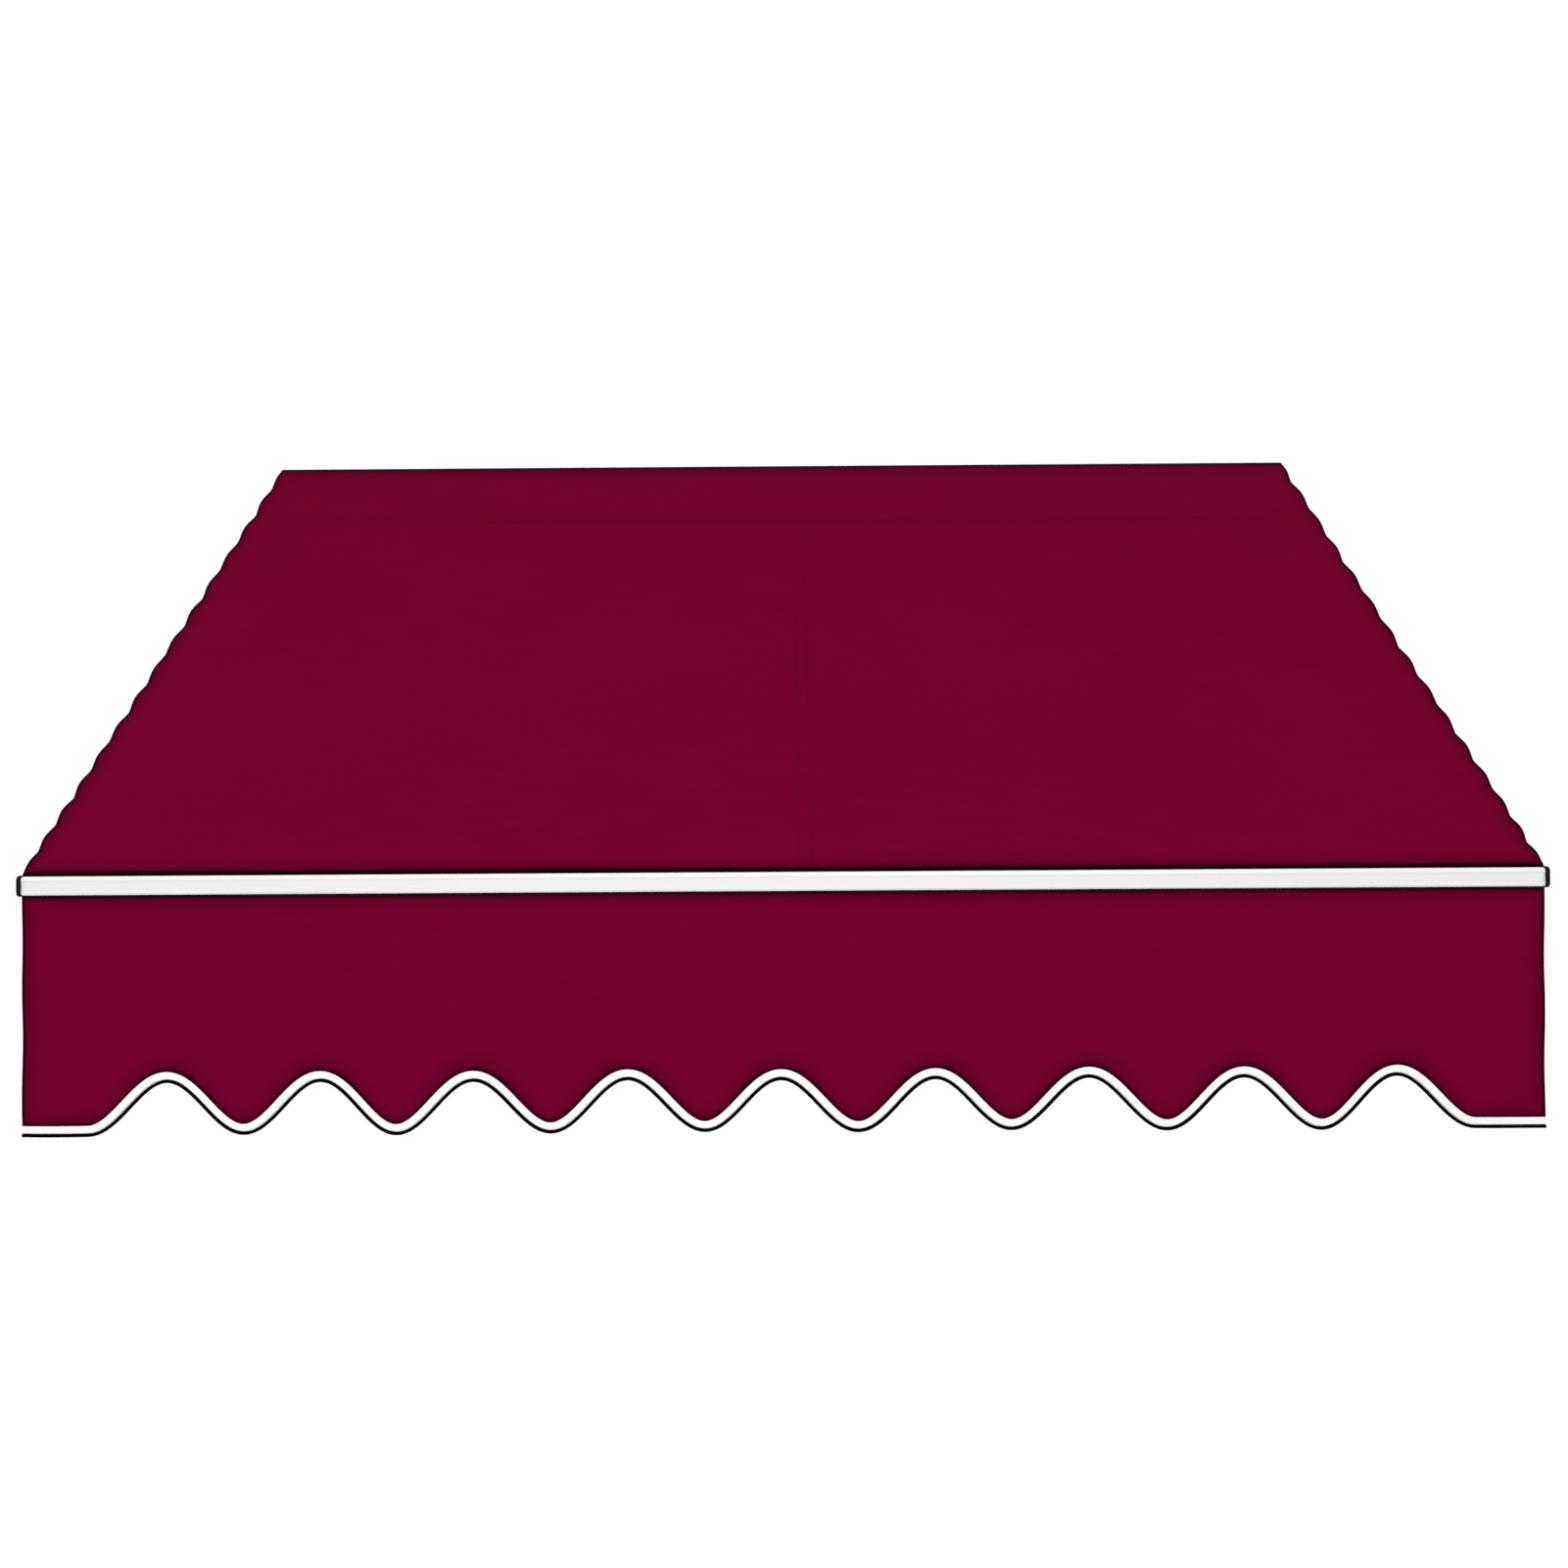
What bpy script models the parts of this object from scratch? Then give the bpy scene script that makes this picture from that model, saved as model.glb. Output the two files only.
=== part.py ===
"""A window awning: a canvas roof between a wall rod and a front rail, on two hinged side arms.

Metres. X runs along the wall, -Y leads out from the wall, Z is up. The origin is on the wall's
surface, behind the middle of the head rod. The frame is modelled lowered, with the roof taut.
"""
import math

import bmesh
import bpy
from mathutils import Vector

# Overall sizes
WIDTH = 1.80
RISE = 0.675
RAIL_OUT = 0.7275
SEAT_GAP = 0.0003

# Canvas
CLOTH = 0.0012
ROOF_SAG = 0.008
HEAD_HEM = 0.183
HEM_STITCH_DIP = 0.0005
HEM_STITCH_WIDTH = 0.003
SEAM_PLACE = 0.029
SEAM_WIDTH = 0.020
SEAM_RISE = 0.0005
SEAM_STEP = 0.001
SEAM_STOP = 0.008
GATHERS = 14
GATHER_DEPTH_AT_ROD = 0.006
GATHER_DEPTH_AT_RAIL = 0.004
GATHER_CLOSING = 0.42
WRAP_GAP = 0.0005

# Valance and its edging
VALANCE_DROP = 0.283
SCALLOPS = 9
SCALLOP_FLAT_LEFT = 0.079
SCALLOP_FLAT_RIGHT = 0.083
SCALLOP_DEPTH = 0.062
SCALLOP_STEPS = 10
BINDING_WIDTH = 0.009
BINDING_TAPE = 0.0008
PIPING_RADIUS = 0.0017

# Head rod and its wall brackets
ROD_RADIUS = 0.0125
ROD_WALL = 0.002
ROD_OUT = 0.030
ROD_INSET = 0.001
ROD_CAP_LIP = 0.003
ROD_CAP_ROUND = 0.0012
ROD_CAP_DEPTH = 0.018
BRACKET_INSET = 0.100
BRACKET_WIDTH = 0.026
BRACKET_DROP = 0.076
BRACKET_THICK = 0.004
BRACKET_WEB = 0.016
BRACKET_HOLE_DROP = 0.034
BRACKET_HOLE_SPREAD = 0.028
HOOK_THICK = 0.0035
HOOK_GAP = 0.0004
HOOK_BACK_DEG = 60
HOOK_FRONT_DEG = 50
NOTCH_ROOM = 0.004

# Rail
RAIL_DEPTH = 0.030
RAIL_HEIGHT = 0.0225
RAIL_WALL = 0.002
RAIL_FRONT_ROUND = 0.004
RAIL_BACK_ROUND = 0.0015
RAIL_LIP = 0.0055
RAIL_RECESS = 0.0008
CHANNEL_RADIUS = 0.0037
CHANNEL_DEPTH = 0.0056
CHANNEL_SETBACK = 0.0065
SLOT_WIDTH = 0.0024
SPLINE_RADIUS = 0.0018
BEAD_FILLET = 0.0012
BEAD_WRAP_DEG = 300
CORNER_RUN = 0.002
CAP_THICK = 0.0012
CAP_CROWN = 0.0013
CAP_CROWN_STEPS = 4
CAP_PROUD = 0.0013
CAP_LIP = 0.0036
CAP_PEG = 0.014

# Side arms and their hinges
ARM_INSET = 0.040
ARM_RADIUS = 0.010
ARM_WALL = 0.0015
EYE_RADIUS = 0.0095
EYE_THICK = 0.010
EYE_LENGTH = 0.026
SPIGOT_LENGTH = 0.026
RIVET_RADIUS = 0.002
PIN_RADIUS = 0.004
PIN_HOLE_GAP = 0.0005
PIN_HEAD_RADIUS = 0.0065
PIN_HEAD_THICK = 0.003
NUT_RADIUS = 0.0072
NUT_THICK = 0.0055
LUG_THICK = 0.004
LUG_SIDE_GAP = 0.0004
LUG_RADIUS = 0.0095
PLATE_WIDTH = 0.040
PLATE_HEIGHT = 0.100
PLATE_THICK = 0.004
PLATE_HOLE_SPREAD = 0.070
PLATE_REACH = 0.024
KNUCKLE_WIDTH = 0.062
KNUCKLE_THICK = 0.003
KNUCKLE_HOLE_SPREAD = 0.044
KNUCKLE_REACH = 0.022

# Fasteners
WALL_SCREW_RADIUS = 0.0024
WALL_SCREW_LENGTH = 0.040
SMALL_SCREW_RADIUS = 0.0016
SMALL_SCREW_BITE = 0.004
HEAD_TO_SHANK = 2.0
HEAD_HEIGHT_TO_SHANK = 1.1
HEAD_CROWN = 0.6

# Fineness of round shapes
ROUND_SIDES = 20
SMALL_SIDES = 10
NUT_SIDES = 6
PIPING_SIDES = 6
BEAD_STEPS = 12
CHANNEL_STEPS = 15
WRAP_STEPS = 14
HOOK_STEPS = 16
LUG_STEPS = 10
CORNER_STEPS = 3
CLOTH_STEPS = 4
EDGE_ANGLE = math.radians(40)

# Places worked out from the sizes above
HALF_WIDTH = WIDTH / 2
ROD_CENTRE = (-ROD_OUT, 0.0)
RAIL_MIDDLE = -RAIL_OUT - CHANNEL_SETBACK + RAIL_DEPTH / 2
RAIL_BACK = RAIL_MIDDLE + RAIL_DEPTH / 2
RAIL_TOP = -RISE + RAIL_HEIGHT / 2
RAIL_BOTTOM = -RISE - RAIL_HEIGHT / 2
UPPER_CHANNEL = RAIL_TOP - CHANNEL_DEPTH
LOWER_CHANNEL = RAIL_BOTTOM + CHANNEL_DEPTH
RAIL_HALF_LENGTH = HALF_WIDTH + SEAT_GAP
BRACKET_PLACES = {
    "left": -HALF_WIDTH + BRACKET_INSET,
    "centre": 0.0,
    "right": HALF_WIDTH - BRACKET_INSET,
}
SIDES = {"left": -1, "right": 1}
ARM_PLACE = HALF_WIDTH - ARM_INSET
KNUCKLE_FACE = RAIL_BACK + SEAT_GAP
WALL_PIN_Y = -PLATE_THICK - PLATE_REACH
RAIL_PIN_Y = KNUCKLE_FACE + KNUCKLE_THICK + KNUCKLE_REACH
CLEVIS_HALF = EYE_THICK / 2 + LUG_SIDE_GAP + LUG_THICK
FLAT_BOTTOM = RAIL_BOTTOM - VALANCE_DROP
SCALLOPS_START = -HALF_WIDTH + SCALLOP_FLAT_LEFT
SCALLOP_PITCH = (WIDTH - SCALLOP_FLAT_LEFT - SCALLOP_FLAT_RIGHT) / SCALLOPS
TAPE_INSIDE = CLOTH / 2 + SEAM_RISE + SEAT_GAP
ROOF_CORNER = (-RAIL_OUT, RAIL_TOP + CORNER_RUN + CLOTH)

FINISHES = {
    "burgundy_canvas": ((0.159, 0.0006, 0.025), 0.85, 0.0),
    "white_coat": ((0.87, 0.86, 0.87), 0.35, 0.0),
    "white_tape": ((0.90, 0.90, 0.90), 0.80, 0.0),
    "dark_piping": ((0.010, 0.008, 0.010), 0.75, 0.0),
    "white_plastic": ((0.83, 0.82, 0.83), 0.45, 0.0),
    "black_plastic": ((0.004, 0.004, 0.004), 0.50, 0.0),
    "bare_aluminium": ((0.66, 0.67, 0.68), 0.38, 1.0),
    "zinc_steel": ((0.52, 0.53, 0.55), 0.42, 1.0),
    "clear_spline": ((0.72, 0.72, 0.70), 0.50, 0.0),
}


def paint(piece, finish):
    """Give a piece a material of its own in the named finish."""
    colour, roughness, metallic = FINISHES[finish]
    material = bpy.data.materials.new(f"{piece.name}_{finish}")
    material.use_nodes = True
    shader = material.node_tree.nodes["Principled BSDF"]
    shader.inputs["Base Color"].default_value = (*colour, 1.0)
    shader.inputs["Roughness"].default_value = roughness
    shader.inputs["Metallic"].default_value = metallic
    piece.data.materials.append(material)


def link(name, bm, carrier=None):
    """Make an object of a finished bmesh, its mesh counted from the axis that carries it."""
    bmesh.ops.recalc_face_normals(bm, faces=bm.faces)
    if carrier:
        bmesh.ops.translate(bm, verts=bm.verts, vec=-carrier.location)
    mesh = bpy.data.meshes.new(name)
    bm.to_mesh(mesh)
    bm.free()
    mesh.shade_smooth()
    mesh.set_sharp_from_angle(angle=EDGE_ANGLE)
    thing = bpy.data.objects.new(name, mesh)
    bpy.context.collection.objects.link(thing)
    thing.parent = carrier
    return thing


def solid(name, bm, finish, carrier=None):
    """A named piece of the awning."""
    piece = link(name, bm, carrier)
    paint(piece, finish)
    return piece


def tool_body(name, bm, carrier=None):
    """A guide that shapes a piece and isn't one itself."""
    guide = link(name, bm, carrier)
    guide.display_type = "WIRE"
    guide.hide_render = True
    return guide


def shape_by(piece, guide, operation):
    """Join a guide to a piece, or cut it away."""
    change = piece.modifiers.new(guide.name, "BOOLEAN")
    change.operation = operation
    change.object = guide


def arc(centre, radius, start_deg, end_deg, steps):
    """Points along an arc, both ends included."""
    angles = [math.radians(start_deg + (end_deg - start_deg) * k / steps) for k in range(steps + 1)]
    return [(centre[0] + radius * math.cos(a), centre[1] + radius * math.sin(a)) for a in angles]


def add_prism(bm, outline, low, high):
    """Extrude an outline in the YZ plane from one X to another."""
    near = [bm.verts.new((low, y, z)) for y, z in outline]
    far = [bm.verts.new((high, y, z)) for y, z in outline]
    bm.faces.new(near)
    bm.faces.new(far[::-1])
    for k in range(len(outline)):
        bm.faces.new((near[k - 1], near[k], far[k], far[k - 1]))


def add_box(bm, low, high):
    """A box between two corners."""
    outline = [(low[1], low[2]), (high[1], low[2]), (high[1], high[2]), (low[1], high[2])]
    add_prism(bm, outline, low[0], high[0])


def add_turned(bm, base, direction, profile, sides=SMALL_SIDES, hollow=False):
    """Turn a profile of (radius, distance) about a line; a hollow profile closes on itself."""
    direction = Vector(direction).normalized()
    turn = Vector((0, 0, 1)).rotation_difference(direction)
    rings = []
    for radius, distance in profile:
        ring = []
        for k in range(sides):
            angle = 2 * math.pi * k / sides
            spoke = Vector((radius * math.cos(angle), radius * math.sin(angle), distance))
            ring.append(bm.verts.new(Vector(base) + turn @ spoke))
        rings.append(ring)
    pairs = list(zip(rings, rings[1:]))
    if hollow:
        pairs.append((rings[-1], rings[0]))
    else:
        bm.faces.new(rings[0])
        bm.faces.new(rings[-1][::-1])
    for near, far in pairs:
        for k in range(sides):
            bm.faces.new((near[k - 1], near[k], far[k], far[k - 1]))


def add_cylinder(bm, base, direction, radius, length, sides=SMALL_SIDES):
    """A plain cylinder."""
    add_turned(bm, base, direction, [(radius, 0), (radius, length)], sides)


def make_screw(name, seat, direction, radius, length, carrier=None):
    """A pan-head screw: seat is under its head, direction runs along its shank."""
    head = radius * HEAD_TO_SHANK
    height = radius * HEAD_HEIGHT_TO_SHANK
    profile = [
        (head * HEAD_CROWN, -height),
        (head, -height / 2),
        (head, 0),
        (radius, 0),
        (radius, length),
    ]
    bm = bmesh.new()
    add_turned(bm, seat, direction, profile)
    solid(name, bm, "zinc_steel", carrier)


def axis_empty(name, y):
    """An empty on a hinge's axis."""
    empty = bpy.data.objects.new(name, None)
    bpy.context.collection.objects.link(empty)
    empty.location = (0, y, -RISE)
    return empty


def direction_of(points, k):
    """Unit direction of a line of points at point k."""
    before = points[max(k - 1, 0)]
    after = points[min(k + 1, len(points) - 1)]
    run, rise = after[0] - before[0], after[1] - before[1]
    length = math.hypot(run, rise)
    return run / length, rise / length


def tangent_angle(point, radius, side):
    """Angle about the head rod where a line from a point touches a circle round it."""
    run, rise = point[0] - ROD_CENTRE[0], point[1] - ROD_CENTRE[1]
    turn = math.atan2(rise, run) + side * math.acos(radius / math.hypot(run, rise))
    return math.degrees(turn) % 360


def bead_loop(centre, out):
    """Cloth line wrapped round a spline, from its free end to the slot; out is 1 for a slot above."""
    radius = SPLINE_RADIUS + WRAP_GAP + CLOTH / 2
    height = math.sqrt(radius**2 + 2 * radius * BEAD_FILLET)
    meet = math.degrees(math.atan2(height, BEAD_FILLET))
    points = arc((0, 0), radius, meet - BEAD_WRAP_DEG, meet, BEAD_STEPS)
    points += arc((BEAD_FILLET, height), BEAD_FILLET, 180 + meet, 180, CORNER_STEPS)[1:]
    return [(centre[0] + u, centre[1] + out * v) for u, v in points]


def roof_slope():
    """The taut slope: where it leaves the rod, its direction, its length and its angle on the rod."""
    radius = ROD_RADIUS + WRAP_GAP + CLOTH / 2
    top_deg = tangent_angle(ROOF_CORNER, radius, -1)
    start = arc(ROD_CENTRE, radius, top_deg, top_deg, 1)[0]
    length = math.dist(start, ROOF_CORNER)
    along = ((ROOF_CORNER[0] - start[0]) / length, (ROOF_CORNER[1] - start[1]) / length)
    return start, along, length - CORNER_RUN, top_deg


def slope_point(distance, below=0.0):
    """A point on the sagging roof line, a distance down the slope."""
    start, along, length, _ = roof_slope()
    share = distance / length
    drop = below + 4 * ROOF_SAG * share * (1 - share)
    y = start[0] + along[0] * distance - along[1] * drop
    z = start[1] + along[1] * distance + along[0] * drop
    return y, z


def add_cloth(bm, rows, columns):
    """An even sheet: rows of (y, z, edge pull, outer rise, seam), columns of (x, edge, band)."""
    line = [(row[0], row[1]) for row in rows]
    outer, inner = [], []
    for k, (y, z, pull, rise, seam) in enumerate(rows):
        run, climb = direction_of(line, k)
        out_y, out_z = climb, -run
        outer_row, inner_row = [], []
        for x, edge, band in columns:
            place = x - edge * pull
            lift = CLOTH / 2 + rise + seam * band * SEAM_RISE
            outer_row.append(bm.verts.new((place, y + out_y * lift, z + out_z * lift)))
            inner_row.append(bm.verts.new((place, y - out_y * CLOTH / 2, z - out_z * CLOTH / 2)))
        outer.append(outer_row)
        inner.append(inner_row)
    last = len(columns) - 1
    for k in range(len(rows) - 1):
        for m in range(last):
            for sheet in (outer, inner):
                bm.faces.new((sheet[k][m], sheet[k][m + 1], sheet[k + 1][m + 1], sheet[k + 1][m]))
        for m in (0, last):
            bm.faces.new((outer[k][m], outer[k + 1][m], inner[k + 1][m], inner[k][m]))
    return outer, inner


def close_cloth_end(bm, outer_row, inner_row):
    """The narrow faces along one end of a sheet."""
    for m in range(len(outer_row) - 1):
        bm.faces.new((outer_row[m], outer_row[m + 1], inner_row[m + 1], inner_row[m]))


def seam_columns():
    """Columns across the cloth: its two edges, and the raised band of the centre seam."""
    low, high = SEAM_PLACE - SEAM_WIDTH / 2, SEAM_PLACE + SEAM_WIDTH / 2
    return [
        (-HALF_WIDTH, -1, 0),
        (low - SEAM_STEP, 0, 0),
        (low, 0, 1),
        (high, 0, 1),
        (high + SEAM_STEP, 0, 0),
        (HALF_WIDTH, 1, 0),
    ]


def gather_place(turns):
    """Share of the slope passed after a share of the gathers, which close up towards the rail."""
    return (1 + GATHER_CLOSING) * turns - GATHER_CLOSING * turns**2


def gather_turns(share):
    """Share of the gathers passed at a share of the slope."""
    spread = 1 + GATHER_CLOSING
    return (spread - math.sqrt(spread**2 - 4 * GATHER_CLOSING * share)) / (2 * GATHER_CLOSING)


def gather_pull(share):
    """How far a side hem is drawn in: nothing at the rod and the rail, most halfway along a gather."""
    depth = GATHER_DEPTH_AT_ROD + (GATHER_DEPTH_AT_RAIL - GATHER_DEPTH_AT_ROD) * share
    return depth * (1 - abs(math.cos(math.pi * GATHERS * gather_turns(share))))


def roof_rows():
    """The roof's line from its tucked hem, round the rod and down the slope to its bead in the rail."""
    _, _, length, top_deg = roof_slope()
    radius = ROD_RADIUS + WRAP_GAP + CLOTH / 2
    tucked = slope_point(HEAD_HEM, CLOTH + SEAT_GAP)
    low_deg = tangent_angle(tucked, radius, 1) - 360
    wrap = arc(ROD_CENTRE, radius, low_deg, top_deg, WRAP_STEPS)
    rows = []
    for k in range(CLOTH_STEPS):
        share = k / CLOTH_STEPS
        y = tucked[0] + (wrap[0][0] - tucked[0]) * share
        z = tucked[1] + (wrap[0][1] - tucked[1]) * share
        rows.append((y, z, GATHER_DEPTH_AT_ROD, 0, 0))
    rows += [(y, z, 0, 0, 0) for y, z in wrap]
    half_dip = HEM_STITCH_WIDTH / 2
    count = CLOTH_STEPS * GATHERS
    places = [(length * gather_place(k / count), 0) for k in range(1, count + 1)]
    places = [place for place in places if abs(place[0] - HEAD_HEM) > 2 * half_dip]
    places += [(HEAD_HEM - half_dip, 0), (HEAD_HEM, -HEM_STITCH_DIP), (HEAD_HEM + half_dip, 0)]
    for distance, rise in sorted(places):
        seam = 1 if HEAD_HEM < distance < length - SEAM_STOP else 0
        rows.append((*slope_point(distance), gather_pull(distance / length), rise, seam))
    start_y, start_z = slope_point(length)
    end_y, end_z = -RAIL_OUT, ROOF_CORNER[1] - CORNER_RUN
    for k in range(1, CLOTH_STEPS + 1):
        t = k / CLOTH_STEPS
        y = (1 - t) ** 2 * start_y + 2 * t * (1 - t) * ROOF_CORNER[0] + t**2 * end_y
        z = (1 - t) ** 2 * start_z + 2 * t * (1 - t) * ROOF_CORNER[1] + t**2 * end_z
        rows.append((y, z, 0, 0, 0))
    bead = reversed(bead_loop((-RAIL_OUT, UPPER_CHANNEL), 1))
    rows += [(y, z, 0, 0, 0) for y, z in bead]
    return rows


def make_roof_cover():
    """The canvas roof, notched at the back of its head pocket for the wall brackets."""
    bm = bmesh.new()
    outer, inner = add_cloth(bm, roof_rows(), seam_columns())
    for row in (0, -1):
        close_cloth_end(bm, outer[row], inner[row])
    roof = solid("roof_cover", bm, "burgundy_canvas")
    _, along, _, top_deg = roof_slope()
    outside = ROD_RADIUS + HOOK_GAP + HOOK_THICK
    far = outside + NOTCH_ROOM
    top = outside * math.cos(math.radians(top_deg - HOOK_BACK_DEG)) + NOTCH_ROOM / 2
    corners = [(-far, -far), (far, -far), (far, top), (-far, top)]
    outline = [
        (ROD_CENTRE[0] + along[0] * d + along[1] * n, ROD_CENTRE[1] + along[1] * d - along[0] * n)
        for d, n in corners
    ]
    half = BRACKET_WIDTH / 2 + NOTCH_ROOM
    bm = bmesh.new()
    for place in BRACKET_PLACES.values():
        add_prism(bm, outline, place - half, place + half)
    shape_by(roof, tool_body("pocket_notches", bm), "DIFFERENCE")


def make_head_rod():
    """The tube in the head pocket, and its end plugs."""
    half = HALF_WIDTH - ROD_INSET - ROD_CAP_LIP - SEAT_GAP
    bore = ROD_RADIUS - ROD_WALL
    bm = bmesh.new()
    profile = [(ROD_RADIUS, 0), (ROD_RADIUS, 2 * half), (bore, 2 * half), (bore, 0)]
    add_turned(bm, (-half, *ROD_CENTRE), (1, 0, 0), profile, ROUND_SIDES, hollow=True)
    rod = solid("head_rod", bm, "bare_aluminium")
    shape_by(rod, rod_screw_holes(), "DIFFERENCE")
    for side, sign in SIDES.items():
        bm = bmesh.new()
        profile = [
            (ROD_RADIUS - ROD_CAP_ROUND, ROD_CAP_LIP),
            (ROD_RADIUS, ROD_CAP_LIP / 2),
            (ROD_RADIUS, 0),
            (bore - SEAT_GAP, 0),
            (bore - SEAT_GAP, -ROD_CAP_DEPTH),
        ]
        seat = sign * (half + SEAT_GAP)
        add_turned(bm, (seat, *ROD_CENTRE), (sign, 0, 0), profile, ROUND_SIDES)
        solid(f"head_rod_cap_{side}", bm, "white_plastic")


def rod_screw_holes():
    """Holes for the screws that hold the rod in its hooks."""
    bm = bmesh.new()
    for place in BRACKET_PLACES.values():
        low = ROD_CENTRE[1] - ROD_RADIUS - HOOK_GAP - 2 * HOOK_THICK
        reach = 2 * HOOK_THICK + HOOK_GAP + 2 * ROD_WALL
        radius = SMALL_SCREW_RADIUS + SEAT_GAP
        add_cylinder(bm, (place, ROD_CENTRE[0], low), (0, 0, 1), radius, reach)
    return tool_body("rod_screw_holes", bm)


def bracket_outline():
    """Wall plate, short web and the hook under the head rod, seen from the side."""
    _, _, _, top_deg = roof_slope()
    inside = ROD_RADIUS + HOOK_GAP
    outside = inside + HOOK_THICK
    web = BRACKET_WEB / 2
    web_deg = math.degrees(math.asin(web / outside))
    front_deg = top_deg + HOOK_FRONT_DEG - 360
    outline = [(0, -BRACKET_DROP), (0, web)]
    outline += arc(ROD_CENTRE, outside, web_deg, HOOK_BACK_DEG, CORNER_STEPS)
    outline += arc(ROD_CENTRE, inside, HOOK_BACK_DEG, front_deg, HOOK_STEPS)
    outline += arc(ROD_CENTRE, outside, front_deg, -web_deg, HOOK_STEPS)
    outline += [(-BRACKET_THICK, -web), (-BRACKET_THICK, -BRACKET_DROP)]
    return outline


def make_head_brackets():
    """Three wall hooks and their screws."""
    wall_holes = bmesh.new()
    heights = {"high": -BRACKET_HOLE_DROP, "low": -BRACKET_HOLE_DROP - BRACKET_HOLE_SPREAD}
    for name, place in BRACKET_PLACES.items():
        for level, height in heights.items():
            start = (place, -2 * BRACKET_THICK, height)
            add_cylinder(wall_holes, start, (0, 1, 0), WALL_SCREW_RADIUS + SEAT_GAP, 4 * BRACKET_THICK)
            seat = (place, -BRACKET_THICK - SEAT_GAP, height)
            screw = f"head_bracket_screw_{name}_{level}"
            make_screw(screw, seat, (0, 1, 0), WALL_SCREW_RADIUS, WALL_SCREW_LENGTH)
        seat = (place, ROD_CENTRE[0], ROD_CENTRE[1] - ROD_RADIUS - HOOK_GAP - HOOK_THICK - SEAT_GAP)
        length = HOOK_THICK + HOOK_GAP + ROD_WALL + SMALL_SCREW_BITE
        make_screw(f"rod_screw_{name}", seat, (0, 0, 1), SMALL_SCREW_RADIUS, length)
    holes = tool_body("bracket_screw_holes", wall_holes)
    for name, place in BRACKET_PLACES.items():
        bm = bmesh.new()
        add_prism(bm, bracket_outline(), place - BRACKET_WIDTH / 2, place + BRACKET_WIDTH / 2)
        bracket = solid(f"head_bracket_{name}", bm, "zinc_steel")
        shape_by(bracket, holes, "DIFFERENCE")
        shape_by(bracket, bpy.data.objects["rod_screw_holes"], "DIFFERENCE")


def rounded_box(half_deep, half_high, front_round, back_round):
    """A cross-section about the rail's centre, as four corner arcs from the back top corner on."""
    corners = [
        (half_deep - back_round, half_high - back_round, back_round, 0),
        (-half_deep + front_round, half_high - front_round, front_round, 90),
        (-half_deep + front_round, -half_high + front_round, front_round, 180),
        (half_deep - back_round, -half_high + back_round, back_round, 270),
    ]
    return [arc((y, z), radius, turn, turn + 90, CORNER_STEPS) for y, z, radius, turn in corners]


def channel(centre, out):
    """The round channel and its slot, cut into the rail's upper (out 1) or lower (out -1) face."""
    opening = math.degrees(math.asin(SLOT_WIDTH / 2 / CHANNEL_RADIUS))
    start = 90 * out - opening
    middle = -RAIL_OUT - RAIL_MIDDLE
    ring = arc((middle, centre), CHANNEL_RADIUS, start, start - 360 + 2 * opening, CHANNEL_STEPS)
    face = out * RAIL_HEIGHT / 2
    half = out * SLOT_WIDTH / 2
    return [(middle + half, face)] + ring + [(middle - half, face)]


def rail_outline():
    """The rail's section: rounded front corners, a shallow front recess and two channels."""
    half_high = RAIL_HEIGHT / 2
    front = -RAIL_DEPTH / 2
    corners = rounded_box(RAIL_DEPTH / 2, half_high, RAIL_FRONT_ROUND, RAIL_BACK_ROUND)
    back_top, front_top, front_low, back_low = corners
    lip = half_high - RAIL_LIP
    recess = [
        (front, lip),
        (front + RAIL_RECESS, lip - RAIL_RECESS),
        (front + RAIL_RECESS, -lip + RAIL_RECESS),
        (front, -lip),
    ]
    upper = channel(half_high - CHANNEL_DEPTH, 1)
    lower = channel(-half_high + CHANNEL_DEPTH, -1)
    outline = back_top + upper + front_top + recess + front_low + lower + back_low
    return [(y + RAIL_MIDDLE, z - RISE) for y, z in outline]


def add_chamber(bm, shrink, low, high):
    """The rail's hollow behind its channels, between two Xs, each wall moved in by shrink."""
    front = -RAIL_OUT + CHANNEL_RADIUS + RAIL_WALL + shrink
    back = RAIL_BACK - RAIL_WALL - shrink
    tall = RAIL_HEIGHT / 2 - RAIL_WALL - shrink
    add_box(bm, (low, front, -RISE - tall), (high, back, -RISE + tall))


def make_front_rail(hinge):
    """The extruded rail with its hollow and the knuckle screws' holes."""
    bm = bmesh.new()
    add_prism(bm, rail_outline(), -RAIL_HALF_LENGTH, RAIL_HALF_LENGTH)
    rail = solid("front_rail", bm, "white_coat", hinge)
    bm = bmesh.new()
    past = RAIL_HALF_LENGTH + CAP_THICK
    add_chamber(bm, 0, -past, past)
    shape_by(rail, tool_body("rail_hollow", bm, hinge), "DIFFERENCE")
    shape_by(rail, knuckle_screw_holes(hinge), "DIFFERENCE")


def knuckle_screw_places():
    """Where the knuckles' screws stand along the rail, by side and by outer or inner."""
    offsets = {"inner": -KNUCKLE_HOLE_SPREAD / 2, "outer": KNUCKLE_HOLE_SPREAD / 2}
    return {
        f"{side}_{which}": sign * (ARM_PLACE + offset)
        for side, sign in SIDES.items()
        for which, offset in offsets.items()
    }


def knuckle_screw_holes(hinge):
    """Holes through the knuckles and into the rail's back wall."""
    bm = bmesh.new()
    depth = KNUCKLE_THICK * 2 + RAIL_WALL * 2
    for place in knuckle_screw_places().values():
        start = (place, KNUCKLE_FACE + KNUCKLE_THICK * 2, -RISE)
        add_cylinder(bm, start, (0, -1, 0), SMALL_SCREW_RADIUS + SEAT_GAP, depth)
    return tool_body("knuckle_screw_holes", bm, hinge)


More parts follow.
